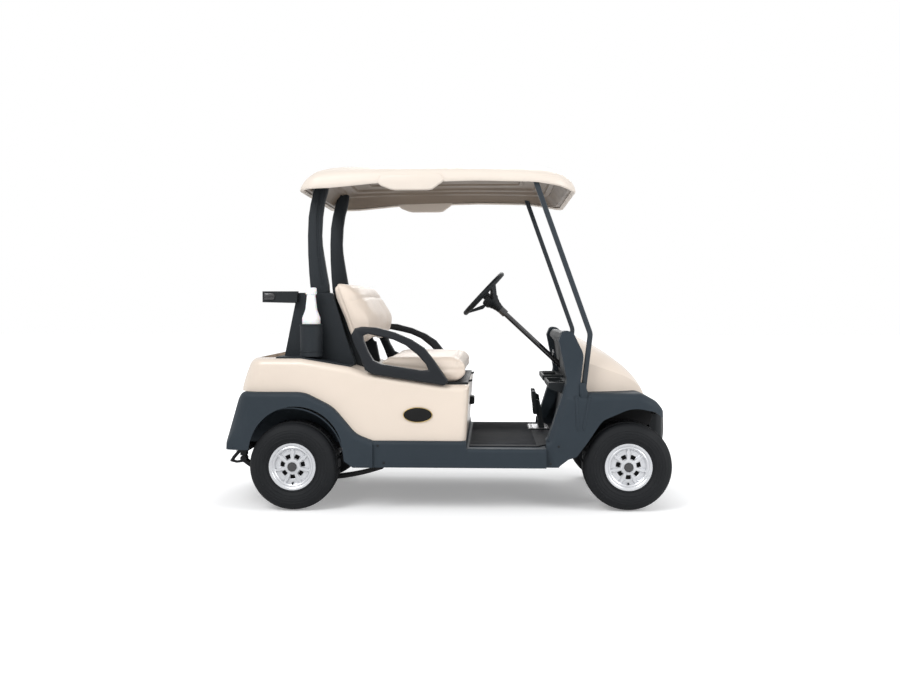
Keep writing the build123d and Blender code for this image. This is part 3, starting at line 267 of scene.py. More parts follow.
def pick(obj, test):
    """Edit mode with only the faces whose middle and normal pass the test."""
    alone(obj)
    for vertex in obj.data.vertices:
        vertex.select = False
    for edge in obj.data.edges:
        edge.select = False
    for face in obj.data.polygons:
        face.select = bool(test(face.center, face.normal))
    bpy.ops.object.mode_set(mode="EDIT")
    bpy.ops.mesh.select_mode(type="FACE")


def settle(obj, place=(0, 0, 0), turn=(0, 0, 0)):
    """Moves a piece to its place and leaves its object at the origin."""
    alone(obj)
    obj.location = place
    obj.rotation_euler = turn
    bpy.ops.object.transform_apply(location=True, rotation=True, scale=True)
    return obj


def on_all(obj, operator, **values):
    """Runs one edit mode operator on the whole of a piece."""
    alone(obj)
    bpy.ops.object.mode_set(mode="EDIT")
    bpy.ops.mesh.select_all(action="SELECT")
    operator(**values)
    bpy.ops.object.mode_set(mode="OBJECT")
    return obj


def applied(obj, kind, **values):
    """Puts one modifier on a piece and applies it."""
    alone(obj)
    modifier = obj.modifiers.new(kind.lower(), kind)
    for key, value in values.items():
        setattr(modifier, key, value)
    bpy.ops.object.modifier_apply(modifier=modifier.name)
    return obj


def bevelled(obj, width, segments=2, angle=40):
    """Rounds a piece's sharp edges."""
    return applied(obj, "BEVEL", width=width, segments=segments,
                   limit_method="ANGLE", angle_limit=radians(angle))


def smooth(obj, angle=35):
    """Smooth shading, with edges sharper than the angle kept crisp."""
    alone(obj)
    bpy.ops.object.shade_smooth_by_angle(angle=radians(angle))
    return obj


def joined(*pieces):
    """Several pieces as one mesh."""
    alone(pieces[0])
    for piece in pieces:
        piece.select_set(True)
    bpy.ops.object.join()
    return bpy.context.object


def twin(obj, flip=True):
    """A copy of a piece with its own mesh, mirrored to the other side unless flip is off."""
    other = obj.copy()
    other.data = obj.data.copy()
    bpy.context.scene.collection.objects.link(other)
    if flip:
        other.data.transform(Matrix.Scale(-1, 4, (0, 1, 0)))
        on_all(other, bpy.ops.mesh.flip_normals)
    return other


def finished(obj, name, finish, body="chassis", replaces=()):
    """Names a piece, gives it its finish, if it hasn't several already, and seats it on its body."""
    obj.name = name
    obj.data.name = name
    if finish is not None:
        dress(obj, finish)
    if replaces:
        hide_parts(*replaces)
    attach(obj, body)
    return obj


def paired(right, name, finish, node=None):
    """Finishes a right-hand piece and its mirror image. The names of pieces and nodes hold {side}."""
    left = twin(right)
    for side, piece in (("right", right), ("left", left)):
        replaces = (node.format(side=side),) if node else ()
        finished(piece, name.format(side=side), finish, replaces=replaces)


def bar(low, high, round_off=0.0, segments=2):
    """A block between two corners with its edges rounded."""
    alone()
    middle = [(a + b) / 2 for a, b in zip(low, high)]
    bpy.ops.mesh.primitive_cube_add(size=1, location=middle)
    obj = bpy.context.object
    obj.scale = [b - a for a, b in zip(low, high)]
    bpy.ops.object.transform_apply(location=True, rotation=True, scale=True)
    return bevelled(obj, round_off, segments) if round_off else obj


def drawn(points):
    """Edit mode on a new wire through points, all of it selected."""
    alone()
    bpy.ops.mesh.primitive_plane_add(size=0.01)
    obj = bpy.context.object
    bpy.ops.object.mode_set(mode="EDIT")
    bpy.ops.mesh.select_mode(type="VERT")
    bpy.ops.mesh.merge(type="CENTER")
    bpy.ops.transform.translate(value=points[0])
    for here, there in zip(points, points[1:]):
        step = [b - a for a, b in zip(here, there)]
        bpy.ops.mesh.extrude_region_move(TRANSFORM_OT_translate={"value": step})
    bpy.ops.mesh.select_all(action="SELECT")
    return obj


def turned(outline, steps):
    """Spins an outline of (radius, along) points about the Y axis through the origin."""
    obj = drawn([(radius, y, 0) for radius, y in outline])
    bpy.ops.mesh.spin(steps=steps, angle=tau, center=(0, 0, 0), axis=(0, 1, 0))
    bpy.ops.mesh.select_all(action="SELECT")
    bpy.ops.mesh.remove_doubles(threshold=MERGE)
    bpy.ops.mesh.normals_make_consistent(inside=False)
    bpy.ops.object.mode_set(mode="OBJECT")
    return obj


def slab(outline, low_y, high_y, round_off=0.0, segments=2):
    """A plate whose outline is drawn in side view (x, z), between two widths."""
    obj = drawn([(x, low_y, z) for x, z in outline])
    bpy.ops.mesh.edge_face_add()
    bpy.ops.mesh.extrude_region_move(TRANSFORM_OT_translate={"value": (0, high_y - low_y, 0)})
    bpy.ops.mesh.select_all(action="SELECT")
    bpy.ops.mesh.normals_make_consistent(inside=False)
    bpy.ops.object.mode_set(mode="OBJECT")
    return bevelled(obj, round_off, segments) if round_off else obj


def pipe(points, radius, sides=12, cyclic=False):
    """A round bar bent through points."""
    alone()
    curve = bpy.data.curves.new("pipe", "CURVE")
    curve.dimensions = "3D"
    line = curve.splines.new("POLY")
    line.points.add(len(points) - 1)
    for point, place in zip(line.points, points):
        point.co = (*place, 1)
    line.use_cyclic_u = cyclic
    curve.bevel_depth = radius
    curve.bevel_resolution = sides // 4
    curve.use_fill_caps = True
    obj = bpy.data.objects.new("pipe", curve)
    bpy.context.scene.collection.objects.link(obj)
    alone(obj)
    bpy.ops.object.convert(target="MESH")
    return bpy.context.object


def level_ring(middle, radius, thickness):
    """A round bar bent into a level ring."""
    x, y, z = middle
    angles = [tau * k / RING_STEPS for k in range(RING_STEPS)]
    points = [(x + radius * cos(angle), y + radius * sin(angle), z) for angle in angles]
    return pipe(points, thickness, 8, cyclic=True)


def y_span(side, inner, outer):
    """The lower and higher y of a stretch from inner to outer on one side."""
    return sorted((side * inner, side * outer))


def clamp(value):
    """A share held between 0 and 1."""
    return min(max(value, 0.0), 1.0)


def hump(offset, half_width):
    """1 in the middle, falling to 0 at the half width as a parabola does."""
    return max(0.0, 1 - (offset / half_width) ** 2)


def rested(node):
    """A free copy of a CAD node's mesh, to be reshaped."""
    obj = frame["nodes"][node].copy()
    obj.data = obj.data.copy()
    obj.parent = None
    obj.modifiers.clear()
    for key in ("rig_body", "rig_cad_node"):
        if key in obj:
            del obj[key]
    bpy.context.scene.collection.objects.link(obj)
    on_all(obj, bpy.ops.mesh.remove_doubles, threshold=MERGE)
    bpy.ops.mesh.customdata_custom_splitnormals_clear()
    return obj


def cut(obj, *cutters):
    """Takes the cutters out of a piece."""
    for cutter in cutters:
        applied(obj, "BOOLEAN", operation="DIFFERENCE", solver="EXACT", object=cutter)
        bpy.data.objects.remove(cutter)
    return obj


# ---- Wheels --------------------------------------------------------------------------------
TREAD_STEPS = 96
# half outline of the tyre from the bead to the middle of the tread: radius, distance from its mid plane
TYRE_SIDE = ((0.104, 0.086), (0.112, 0.091), (0.119, 0.094), (0.124, 0.0985), (0.127, 0.0965),
             (0.133, 0.0995), (0.140, 0.1035), (0.143, 0.1055), (0.1455, 0.1040), (0.152, 0.1060),
             (0.160, 0.1075), (0.163, 0.1060), (0.166, 0.1075), (0.174, 0.1070), (0.178, 0.1050),
             (0.181, 0.1062), (0.188, 0.1035), (0.192, 0.1005), (0.198, 0.0985), (0.206, 0.0925),
             (0.210, 0.088), (0.215, 0.080), (0.2185, 0.070), (0.2195, 0.052), (0.2135, 0.0505),
             (0.2135, 0.0455), (0.2203, 0.044), (0.2212, 0.020), (0.2150, 0.0185), (0.2150, 0.0135),
             (0.2213, 0.012), (0.2215, 0.0))


def in_tread_notch(middle, _normal):
    """Every other strip of the tyre's shoulders and every fourth strip of its middle ribs."""
    strip = int((atan2(middle.z, middle.x) + pi) / tau * TREAD_STEPS)
    radius, off_centre = hypot(middle.x, middle.z), abs(middle.y)
    on_shoulder = radius > 0.2165 and off_centre > 0.053
    on_rib = radius > 0.2195 and off_centre < 0.044
    return (strip % 2 == 0 and on_shoulder) or (strip % 4 == 1 and on_rib)


def tyre():
    """A turf tyre with rings on its sides and notched ribs, on its own mid plane."""
    outline = TYRE_SIDE + tuple((r, -y) for r, y in reversed(TYRE_SIDE[:-1]))
    obj = turned(outline, TREAD_STEPS)
    pick(obj, in_tread_notch)
    bpy.ops.mesh.inset(thickness=0.0012, depth=-0.0045, use_even_offset=False)
    bpy.ops.object.mode_set(mode="OBJECT")
    return smooth(obj, 32)


SPOKES = 7
COVER_STEPS = SPOKES * 16
# the cover's dish from its hub out: radius, height outwards
COVER_DISH = ((0.0, 0.101), (0.012, 0.101), (0.0125, 0.0995), (0.020, 0.0995), (0.022, 0.097),
              (0.026, 0.0965), (0.028, 0.0935), (0.033, 0.0925), (0.038, 0.0915), (0.0525, 0.0895),
              (0.064, 0.0880), (0.078, 0.0868), (0.088, 0.0875), (0.0925, 0.0915), (0.096, 0.0925),
              (0.1005, 0.0905), (0.1035, 0.0935), (0.110, 0.0965), (0.1165, 0.0965), (0.1175, 0.0935),
              (0.1175, 0.0900), (0.1037, 0.0885))
BARREL = ((0.1037, 0.0885), (0.1037, 0.060), (0.099, 0.050), (0.099, -0.050), (0.1037, -0.062),
          (0.1037, -0.0885), (0.1175, -0.0935), (0.1175, -0.0985), (0.112, -0.0985), (0.0985, -0.0925),
          (0.0985, -0.068), (0.094, -0.052), (0.094, 0.020), (0.046, 0.014), (0.042, -0.010),
          (0.042, -0.060), (0.020, -0.060), (0.020, 0.040), (0.0, 0.040))
VALVE = ((0, 0.020), (0.0030, 0.020), (0.0034, 0.012), (0.0050, 0.010), (0.0050, 0), (0, 0))
CENTRE_CAP = ((0, 0.1034), (0.0170, 0.1034), (0.0215, 0.1022), (0.0235, 0.0995), (0.0235, 0.0965),
              (0, 0.0965))
# a near-black disc behind the cover's windows: painted shade of the wheel's inside
PAINTED_SHADE_DISC = ((0.0, 0.060), (0.094, 0.060), (0.094, 0.057), (0.0, 0.057))


def cover_angle(middle):
    """How far round a face lies from the middle of the nearest window, as a share of a spoke's pitch."""
    turn = (atan2(middle.z, middle.x) / tau * SPOKES + SPOKES * 0.25 + 0.5) % 1.0
    return abs(turn - 0.5)


def in_window(middle, _normal):
    """The field between two spokes, which widens towards the rim."""
    radius = hypot(middle.x, middle.z)
    return 0.039 < radius < 0.0875 and cover_angle(middle) < 0.33 * (0.6 + radius / 0.12)


def in_opening(middle, normal):
    """The part of a sunk window near the hub that is cut through."""
    radius = hypot(middle.x, middle.z)
    sunk = middle.y < 0.0835 and abs(normal.y) > 0.5
    return sunk and 0.037 < radius < 0.0640 and cover_angle(middle) < 0.26


def wheel():
    """A rim with its seven-spoke cover facing +Y, and a near-black disc behind the windows as painted shade
    of its inside.
    """
    cover = turned(COVER_DISH, COVER_STEPS)
    pick(cover, in_window)
    bpy.ops.mesh.inset(thickness=0.0018, depth=-0.0022, use_even_offset=False)
    bpy.ops.mesh.inset(thickness=0.0022, depth=-0.0065, use_even_offset=False)
    bpy.ops.object.mode_set(mode="OBJECT")
    pick(cover, in_opening)
    bpy.ops.mesh.inset(thickness=0.0012, depth=-0.001, use_even_offset=False)
    bpy.ops.mesh.delete(type="FACE")
    bpy.ops.object.mode_set(mode="OBJECT")
    smooth(cover, 30)
    barrel = smooth(turned(BARREL, 64), 40)
    valve = settle(turned(VALVE, 12), (0, 0.080, -0.083))
    cap = turned(CENTRE_CAP, 40)
    # the disc behind the windows is painted shade
    back = turned(PAINTED_SHADE_DISC, 48)
    for piece, finish in ((cover, wheel_silver), (barrel, wheel_silver), (valve, black_plastic),
                          (cap, column_gloss), (back, frame_paint)):
        dress(piece, finish)
    return joined(cover, barrel, valve, cap, back)


def wheels():
    """The four tyres and covers, copied from one of each."""
    model_tyre, model_wheel = tyre(), wheel()
    for axle, x, hub_y in (("rear", REAR_AXLE_X, REAR_HUB_Y), ("front", FRONT_AXLE_X, FRONT_HUB_Y)):
        for side, y, heading in (("left", hub_y, 0), ("right", -hub_y, pi)):
            place, turn = f"{axle}_{side}", (0, 0, heading)
            tread = settle(twin(model_tyre, flip=False), (x, y, AXLE_Z), turn)
            finished(tread, f"tyre_tread_{place}", tyre_rubber, f"wheel_{place}", (f"tyre_{place}",))
            cover = settle(twin(model_wheel, flip=False), (x, y, AXLE_Z), turn)
            finished(cover, f"wheel_cover_{place}", None, f"wheel_{place}", (f"rim_{place}",))
    for model in (model_tyre, model_wheel):
        bpy.data.objects.remove(model)


wheels()


# ---- Seats ---------------------------------------------------------------------------------
CLOTH_FRAMES = 20
CUSHION_INSET, CUSHION_SWELL = 0.010, 0.019
EARLY_EASING, LATE_EASING, LAST_EASING = 4, 18, 2
FALL_OFF = 2.718                            # base of a seam's bell-shaped section
PLACE_Y, DISH_DEPTH = 0.25, 0.010           # the two places on the bench
CUSHION_TOP_Z, FRONT_SEAM_X = 0.735, 0.050
BACK_PAD_Y, BACK_PAD_RISE = 0.235, 0.010
BACK_HALF, END_WRAP = 0.482, 0.030          # how far the backrest's ends wrap back
BACK_DEPTH = 0.08
BACK_FOOT = Vector((-0.400, 0, 0.82))
BACK_LEAN = Vector((-0.1, 0, 0.29)).normalized()
BACK_FACE = Vector((BACK_LEAN.z, 0, -BACK_LEAN.x))              # out of the backrest's front


def eased(obj, repeat):
    """Smooths away a cushion's small lumps."""
    return on_all(obj, bpy.ops.mesh.vertices_smooth, factor=0.5, repeat=repeat)


def swollen(node, inset, cap, voxel=0.008, pressure=3.0):
    """A soft solid's own cushion: remeshed, drawn in, blown up as cloth and held within a cap."""
    obj = applied(rested(node), "REMESH", mode="VOXEL", voxel_size=voxel)
    on_all(obj, bpy.ops.transform.shrink_fatten, value=-inset)
    eased(obj, EARLY_EASING)
    scene = bpy.context.scene
    cloth = obj.modifiers.new("cloth", "CLOTH")
    cloth.settings.use_pressure = True
    cloth.settings.uniform_pressure_force = pressure
    cloth.settings.effector_weights.gravity = 0
    cloth.point_cache.frame_start, cloth.point_cache.frame_end = 1, CLOTH_FRAMES
    for step in range(1, CLOTH_FRAMES + 1):
        scene.frame_set(step)
    blown = obj.evaluated_get(bpy.context.evaluated_depsgraph_get()).data
    places = [vertex.co.copy() for vertex in blown.vertices]
    obj.modifiers.remove(cloth)
    for vertex, place in zip(obj.data.vertices, places):
        move = place - vertex.co
        if move.length > cap:
            move *= cap / move.length
        vertex.co += move
    scene.frame_set(1)
    return eased(obj, LATE_EASING)


def seam(obj, distance, width, depth, where):
    """Presses a seam into a cushion where distance(point) is nought."""
    normals = [vertex.normal.copy() for vertex in obj.data.vertices]
    for vertex, normal in zip(obj.data.vertices, normals):
        away = abs(distance(vertex.co)) / width
        if away < 3 and where(vertex.co):
            vertex.co -= normal * depth * FALL_OFF ** (-away * away)


def within(obj, box, below, above):
    """Keeps a cushion inside its node's box, let out by a margin for each axis, and off its neighbours."""
    low, high = box
    for vertex in obj.data.vertices:
        for axis in range(3):
            held = max(vertex.co[axis], low[axis] - below[axis])
            vertex.co[axis] = min(held, high[axis] + above[axis])


def seat_bottom():
    """The bench: two places, each a shallow dish, with the raised middle between them."""
    bottom = swollen("seat_cushion", CUSHION_INSET, CUSHION_SWELL)
    for vertex in bottom.data.vertices:
        co = vertex.co
        if co.z > CUSHION_TOP_Z:
            dish = hump(abs(co.y) - PLACE_Y, 0.17) * hump(co.x + 0.13, 0.19)
            co.z -= DISH_DEPTH * dish
    # one seam round the front and the sides, and one across the top behind the front edge
    seam(bottom, lambda co: co.z - 0.700 - 0.10 * max(0.0, -co.x - 0.1), 0.006, 0.006,
         lambda co: co.x > 0.07 or abs(co.y) > 0.46)
    seam(bottom, lambda co: co.x - FRONT_SEAM_X, 0.009, 0.006, lambda co: co.z > 0.72)
    within(bottom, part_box("seat_cushion"), (0.004, 0.006, 0), (0.006, 0.006, 0.004))
    smooth(eased(bottom, LAST_EASING), 60)
    finished(bottom, "seat_bottom_cushion", seat_vinyl, "seat_bottom", ("seat_cushion",))


def ahead_of_back(co):
    """How far a point lies in front of the backrest's foot, square to its face."""
    return (co - BACK_FOOT).dot(BACK_FACE)


def up_the_back(co):
    """How far a point lies up the backrest from its foot."""
    return (co - BACK_FOOT).dot(BACK_LEAN)


def backrest():
    """The backrest: its ends wrap back, and each place has a pad."""
    back = swollen("seat_back", CUSHION_INSET, CUSHION_SWELL)
    for vertex in back.data.vertices:
        co = vertex.co
        wrap = (co.y / BACK_HALF) ** 2
        pad = hump(abs(co.y) - BACK_PAD_Y, 0.20) * hump(up_the_back(co) - 0.15, 0.16)
        near_face = clamp((ahead_of_back(co) + BACK_DEPTH) / BACK_DEPTH)
        vertex.co += BACK_FACE * (-END_WRAP * wrap + BACK_PAD_RISE * pad) * near_face
    # one seam round the top and the ends, and one across the front below the top
    seam(back, lambda co: ahead_of_back(co) + 0.048, 0.007, 0.010, lambda co: co.z > 1.06 or abs(co.y) > 0.44)
    seam(back, lambda co: up_the_back(co) - 0.235, 0.008, 0.005, lambda co: ahead_of_back(co) > 0.0)
    within(back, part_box("seat_back"), (0.004, 0.004, 0.004), (0.006, 0.004, 0.004))
    smooth(eased(back, LAST_EASING), 60)
    finished(back, "backrest_cushion", seat_vinyl, "chassis", ("seat_back",))


seat_bottom()
backrest()


# ---- Body fittings -------------------------------------------------------------------------
PLAQUE_X, PLAQUE_Y, PLAQUE_Z = -0.134, 0.5605, 0.480
PLAQUE_STEPS = 48
PLAQUE_HALF_X, PLAQUE_HALF_Z = 0.0715, 0.0365
RIB_PITCH, RIB_COUNT = 0.0145, 63
ARMREST_INNER, ARMREST_OUTER = 0.514, 0.562


def plaques():
    """Blank oval plaques: a domed face inside a gold edge."""
    for side, y in (("left", PLAQUE_Y), ("right", -PLAQUE_Y)):
        alone()
        bpy.ops.mesh.primitive_uv_sphere_add(segments=PLAQUE_STEPS, ring_count=16)
        face = bpy.context.object
        face.scale = (0.0685, 0.0035, 0.0335)
        settle(face, (PLAQUE_X, y * 0.9975, PLAQUE_Z))
        finished(smooth(face, 60), f"plaque_face_{side}", plaque_black)
        angles = [tau * k / PLAQUE_STEPS for k in range(PLAQUE_STEPS)]
        oval = [(PLAQUE_X + PLAQUE_HALF_X * cos(angle), y, PLAQUE_Z + PLAQUE_HALF_Z * sin(angle))
                for angle in angles]
        edge = pipe(oval, 0.0016, 8, cyclic=True)
        finished(smooth(edge, 60), f"plaque_edge_{side}", gold)


def floor_ribs():
    """Lengthwise ribs across the floor mat, as one mesh."""
    rib = bar((0.124, -0.4525, 0.3218), (0.455, -0.4465, 0.3245), 0.0008, 1)
    applied(rib, "ARRAY", use_relative_offset=False, use_constant_offset=True,
            constant_offset_displace=(0, RIB_PITCH, 0), count=RIB_COUNT)
    finished(rib, "floor_mat_ribs", mat_rubber)


def strut_pockets():
    """The moulded boots that the front struts stand in, with two ribs down the fender below each."""
    boot_side = ((0.660, 0.640), (0.690, 0.640), (0.704, 0.592), (0.700, 0.560), (0.668, 0.560),
                 (0.662, 0.592))
    rear_rib = ((0.640, 0.575), (0.652, 0.575), (0.664, 0.420), (0.655, 0.400), (0.646, 0.420))
    front_rib = ((0.706, 0.575), (0.718, 0.575), (0.692, 0.420), (0.683, 0.400), (0.676, 0.420))
    boot = slab(boot_side, -0.5575, -0.4935, 0.006, 3)
    ribs = [slab(outline, -0.5625, -0.552, 0.003) for outline in (rear_rib, front_rib)]
    paired(smooth(joined(boot, *ribs), 40), "strut_boot_{side}", dark_moulding)


def armrests():
    """The looped armrests, round-edged, with their feet sunk into the body's shoulder."""
    rim = ((-0.464, 0.876), (-0.446, 0.908), (-0.415, 0.916), (-0.339, 0.912), (-0.247, 0.888),
           (-0.163, 0.852), (-0.102, 0.812), (-0.056, 0.754), (0.013, 0.655), (0.018, 0.640),
           (-0.003, 0.626), (-0.362, 0.680), (-0.396, 0.701), (-0.419, 0.762), (-0.454, 0.838))
    window = ((-0.408, 0.872), (-0.381, 0.880), (-0.308, 0.865), (-0.255, 0.852), (-0.194, 0.824),
              (-0.133, 0.775), (-0.094, 0.731), (-0.080, 0.701), (-0.117, 0.700), (-0.316, 0.731),
              (-0.354, 0.748), (-0.381, 0.793), (-0.402, 0.846))
    loop = cut(slab(rim, -ARMREST_OUTER, -ARMREST_INNER), slab(window, -0.60, -0.48))
    smooth(bevelled(loop, 0.009, 3, 50), 50)
    paired(loop, "armrest_{side}_shell", armrest_plastic, "armrest_{side}")


def bottle_caps():
    """Screw caps on the two sand bottles."""
    outline = ((0, 1.1115), (0.024, 1.1115), (0.0275, 1.108), (0.0285, 1.080), (0.0275, 1.078), (0, 1.078))
    for side, y in (("right", -BOTTLE_Y), ("left", BOTTLE_Y)):
        cap = turned(outline, 40)
        # it was turned about Y, and a quarter turn stands it up
        on_all(cap, bpy.ops.transform.rotate, value=-pi / 2, orient_axis="X", center_override=(0, 0, 0))
        settle(cap, (BOTTLE_X, y, 0))
        finished(smooth(cap, 40), f"bottle_cap_{side}", bottle_white)


def rack_buckles():
    """Strap buckles at the rack's rear corners, each a plate with a raised pad."""
    plate = ((-0.930, 1.050), (-0.880, 1.050), (-0.874, 1.060), (-0.874, 1.076), (-0.880, 1.084),
             (-0.930, 1.084))
    made = []
    for side in (-1, 1):
        made.append(slab(plate, *y_span(side, 0.4195, 0.4265), 0.003))
        low_y, high_y = y_span(side, 0.424, 0.429)
        made.append(bar((-0.922, low_y, 1.056), (-0.902, high_y, 1.078), 0.002))
    finished(smooth(joined(*made), 40), "rack_buckles", column_gloss)


plaques()
floor_ribs()
strut_pockets()
armrests()
bottle_caps()
rack_buckles()


# ---- Roof shell and pillars ----------------------------------------------------------------
roof_low, roof_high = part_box("roof")
ROOF_CENTRE_Z = roof_high[2] - 0.002
# height of the outer shoulder and of the lip's lower edge, from the tail to the nose
SHOULDER = ((-0.732, 1.612), (-0.700, 1.642), (-0.640, 1.664), (-0.520, 1.677), (-0.330, 1.685),
            (0.000, 1.689), (0.170, 1.688), (0.400, 1.680), (0.500, 1.671), (0.585, 1.655),
            (0.630, 1.638), (0.652, 1.618))
LIP = ((-0.732, 1.590), (-0.690, 1.596), (-0.567, 1.600), (-0.330, 1.623), (0.160, 1.634), (0.440, 1.628),
       (0.560, 1.609), (0.620, 1.592), (0.652, 1.584))
# the shell's rows from inside the lip to its shoulder: inset, share of the way up to the skin, lift
EDGE_ROWS = ((0.022, 0.0, 0.006), (0.014, 0.0, 0.000), (0.004, 0.0, 0.000), (0.000, 0.0, 0.005),
             (0.000, 0.30, 0.0), (0.002, 0.60, 0.0), (0.007, 0.82, 0.0), (0.016, 0.94, 0.0),
             (0.030, 1.0, 0.001))
SKIN_INSETS = (0.060, 0.095, 0.140, 0.200, 0.270, 0.350, 0.430, 0.500, 0.545)
# the lining's rows: inset, height over the lip, and then inset, depth below the skin
LINING_RIM = ((0.012, 0.012), (0.040, 0.010), (0.046, 0.020))
LINING_STEPS = ((0.060, 0.040), (0.085, 0.026), (0.090, 0.034), (0.112, 0.034), (0.118, 0.024),
                (0.145, 0.022), (0.150, 0.030), (0.170, 0.030), (0.176, 0.020), (0.240, 0.018),
                (0.246, 0.025), (0.262, 0.025), (0.268, 0.018), (0.350, 0.018), (0.430, 0.018),
                (0.500, 0.018), (0.545, 0.018))


def along(line, x):
    """Height of a line of (x, z) points at x."""
    if x <= line[0][0]:
        return line[0][1]
    for (x0, z0), (x1, z1) in zip(line, line[1:]):
        if x <= x1:
            return z0 + (z1 - z0) * (x - x0) / (x1 - x0)
    return line[-1][1]


def roof_plan(inset):
    """The roof's outline in plan, drawn in by an inset, always with the same number of points."""
    rear, front, half = roof_low[0] + inset, roof_high[0] - inset, roof_high[1] - inset
    corners = []
    # corner place, radius, first angle, steps along the side that follows
    for x, y, radius, start, steps in (
            (front, half - 0.020, 0.150, 0, 26), (rear, half, 0.110, 90, 14),
            (rear, -half, 0.110, 180, 26), (front, -half + 0.020, 0.150, 270, 14)):
        radius = min(max(radius - inset * 0.6, 0.012), half * 0.8)
        cx, cy = x - radius * (1 if x == front else -1), y - radius * (1 if y > 0 else -1)
        angles = [radians(start + 9 * k) for k in range(11)]
        corners.append(([(cx + radius * cos(angle), cy + radius * sin(angle)) for angle in angles], steps))
    points = []
    for (arc, steps), (following, _) in zip(corners, corners[1:] + corners[:1]):
        (x0, y0), (x1, y1) = arc[-1], following[0]
        points += arc + [(x0 + (x1 - x0) * k / steps, y0 + (y1 - y0) * k / steps) for k in range(1, steps)]
    return points


def ringed(name, rows):
    """A skin through closed rings of points, the last one filled."""
    mesh = bpy.data.meshes.new(name)
    count = len(rows[0])
    faces = []
    for start in range(0, (len(rows) - 1) * count, count):
        for k in range(count):
            after = (k + 1) % count
            faces.append((start + k, start + after, start + count + after, start + count + k))
    faces.append(tuple((len(rows) - 1) * count + k for k in range(count)))
    mesh.from_pydata([point for row in rows for point in row], [], faces)
    obj = bpy.data.objects.new(name, mesh)
    bpy.context.scene.collection.objects.link(obj)
    return obj


def crowned(x, inset, drop=0.0):
    """Height of the roof's skin at an inset from its edge."""
    rise = 1 - (1 - min(inset / roof_high[1], 1.0)) ** 3
    edge = along(SHOULDER, x)
    return edge + (ROOF_CENTRE_Z - edge) * rise - drop


def roof_shell():
    """The roof's skin with its rolled lip, and the grips on its long sides."""
    rows = []
    for inset, share, lift in EDGE_ROWS:
        row = []
        for x, y in roof_plan(inset):
            lip_z = along(LIP, x)
            row.append((x, y, lip_z + (crowned(x, max(inset - 0.01, 0.0)) - lip_z) * share + lift))
        rows.append(row)
    for inset in SKIN_INSETS:
        rows.append([(x, y, crowned(x, inset)) for x, y in roof_plan(inset)])
    shell = applied(ringed("roof_shell", rows), "SOLIDIFY", thickness=0.004, offset=-1)
    grip_side = ((-0.335, 1.628), (-0.315, 1.610), (-0.268, 1.592), (-0.245, 1.588), (-0.085, 1.588),
                 (-0.062, 1.592), (-0.020, 1.622), (-0.002, 1.636), (-0.020, 1.668), (-0.315, 1.662))
    outer = roof_high[1] - 0.002
    inner = roof_high[1] - 0.034
    grips = [slab(grip_side, *y_span(side, inner, outer), 0.007, 3) for side in (-1, 1)]
    shell = smooth(joined(shell, *grips), 40)
    finished(shell, "roof_shell", roof_beige, "chassis", ("roof",))


def roof_lining():
    """The moulded lining under the roof: a rim channel and stepped borders, its dark brown partly painted
    shade.
    """
    rows = []
    for inset, over_lip in LINING_RIM:
        rows.append([(x, y, min(along(LIP, x) + over_lip, crowned(x, inset, 0.010)))
                     for x, y in roof_plan(inset)])
    for inset, below_skin in LINING_STEPS:
        rows.append([(x, y, crowned(x, inset, below_skin)) for x, y in roof_plan(inset)])
    finished(smooth(ringed("roof_lining", rows), 30), "roof_lining", roof_inside_painted_shade)


def roof_pillars():
    """The swept pillars between the bag tower and the roof, each with two ridges down its outer face."""
    tail = ((-0.698, 1.080), (-0.703, 1.127), (-0.708, 1.186), (-0.713, 1.283), (-0.714, 1.380),
            (-0.710, 1.476), (-0.699, 1.544), (-0.685, 1.603), (-0.672, 1.650), (-0.664, 1.672))
    nose = ((-0.603, 1.672), (-0.606, 1.640), (-0.612, 1.603), (-0.628, 1.544), (-0.638, 1.476),
            (-0.643, 1.380), (-0.640, 1.330), (-0.633, 1.283), (-0.617, 1.186), (-0.606, 1.127),
            (-0.603, 1.080))
    post = slab(tail + nose, -0.372, -0.328, 0.009, 3)
    ridges = []
    for share in (0.62, 0.74):
        edges = zip(tail[1:9], tuple(reversed(nose))[1:9])
        line = [(x0 * (1 - share) + x1 * share, -0.3725, z0) for (x0, z0), (x1, _) in edges]
        ridges.append(smooth(pipe(line, 0.0022, 8), 60))
    post = smooth(joined(post, *ridges), 40)
    paired(post, "roof_pillar_{side}_shell", tower_plastic, "roof_pillar_{side}")


roof_shell()
roof_lining()
roof_pillars()


# ---- Tail and nose: CAD forms that lean in or are cut back -------------------------------------
BODY_LEAN, FENDER_LEAN, FENDER_FLARE = 0.048, 0.082, 0.034          # how far the tail's forms move, at most
LENGTHWISE, UPRIGHT = 0, 2                                          # axes that cuts are square to


def sliced(obj, axis, places):
    """Cuts edges across a mesh at several planes, so that it bends without facets."""
    normal = [0.0, 0.0, 0.0]
    normal[axis] = 1.0
    for place in places:
        on_all(obj, bpy.ops.mesh.bisect, plane_co=[place * n for n in normal], plane_no=normal)


def leaning_body():
    """The body, whose tail leans in towards its top."""
    body = rested("rear_body")
    sliced(body, LENGTHWISE, [-0.91 - 0.016 * k for k in range(9)])
    sliced(body, UPRIGHT, [0.61 + 0.016 * k for k in range(9)])
    for vertex in body.data.vertices:
        co = vertex.co
        co.x += BODY_LEAN * clamp((co.z - 0.60) / 0.15) ** 1.3 * clamp((-0.90 - co.x) / 0.14)
    smooth(body, 30)
    finished(body, "rear_body_shell", body_beige, "chassis", ("rear_body",))


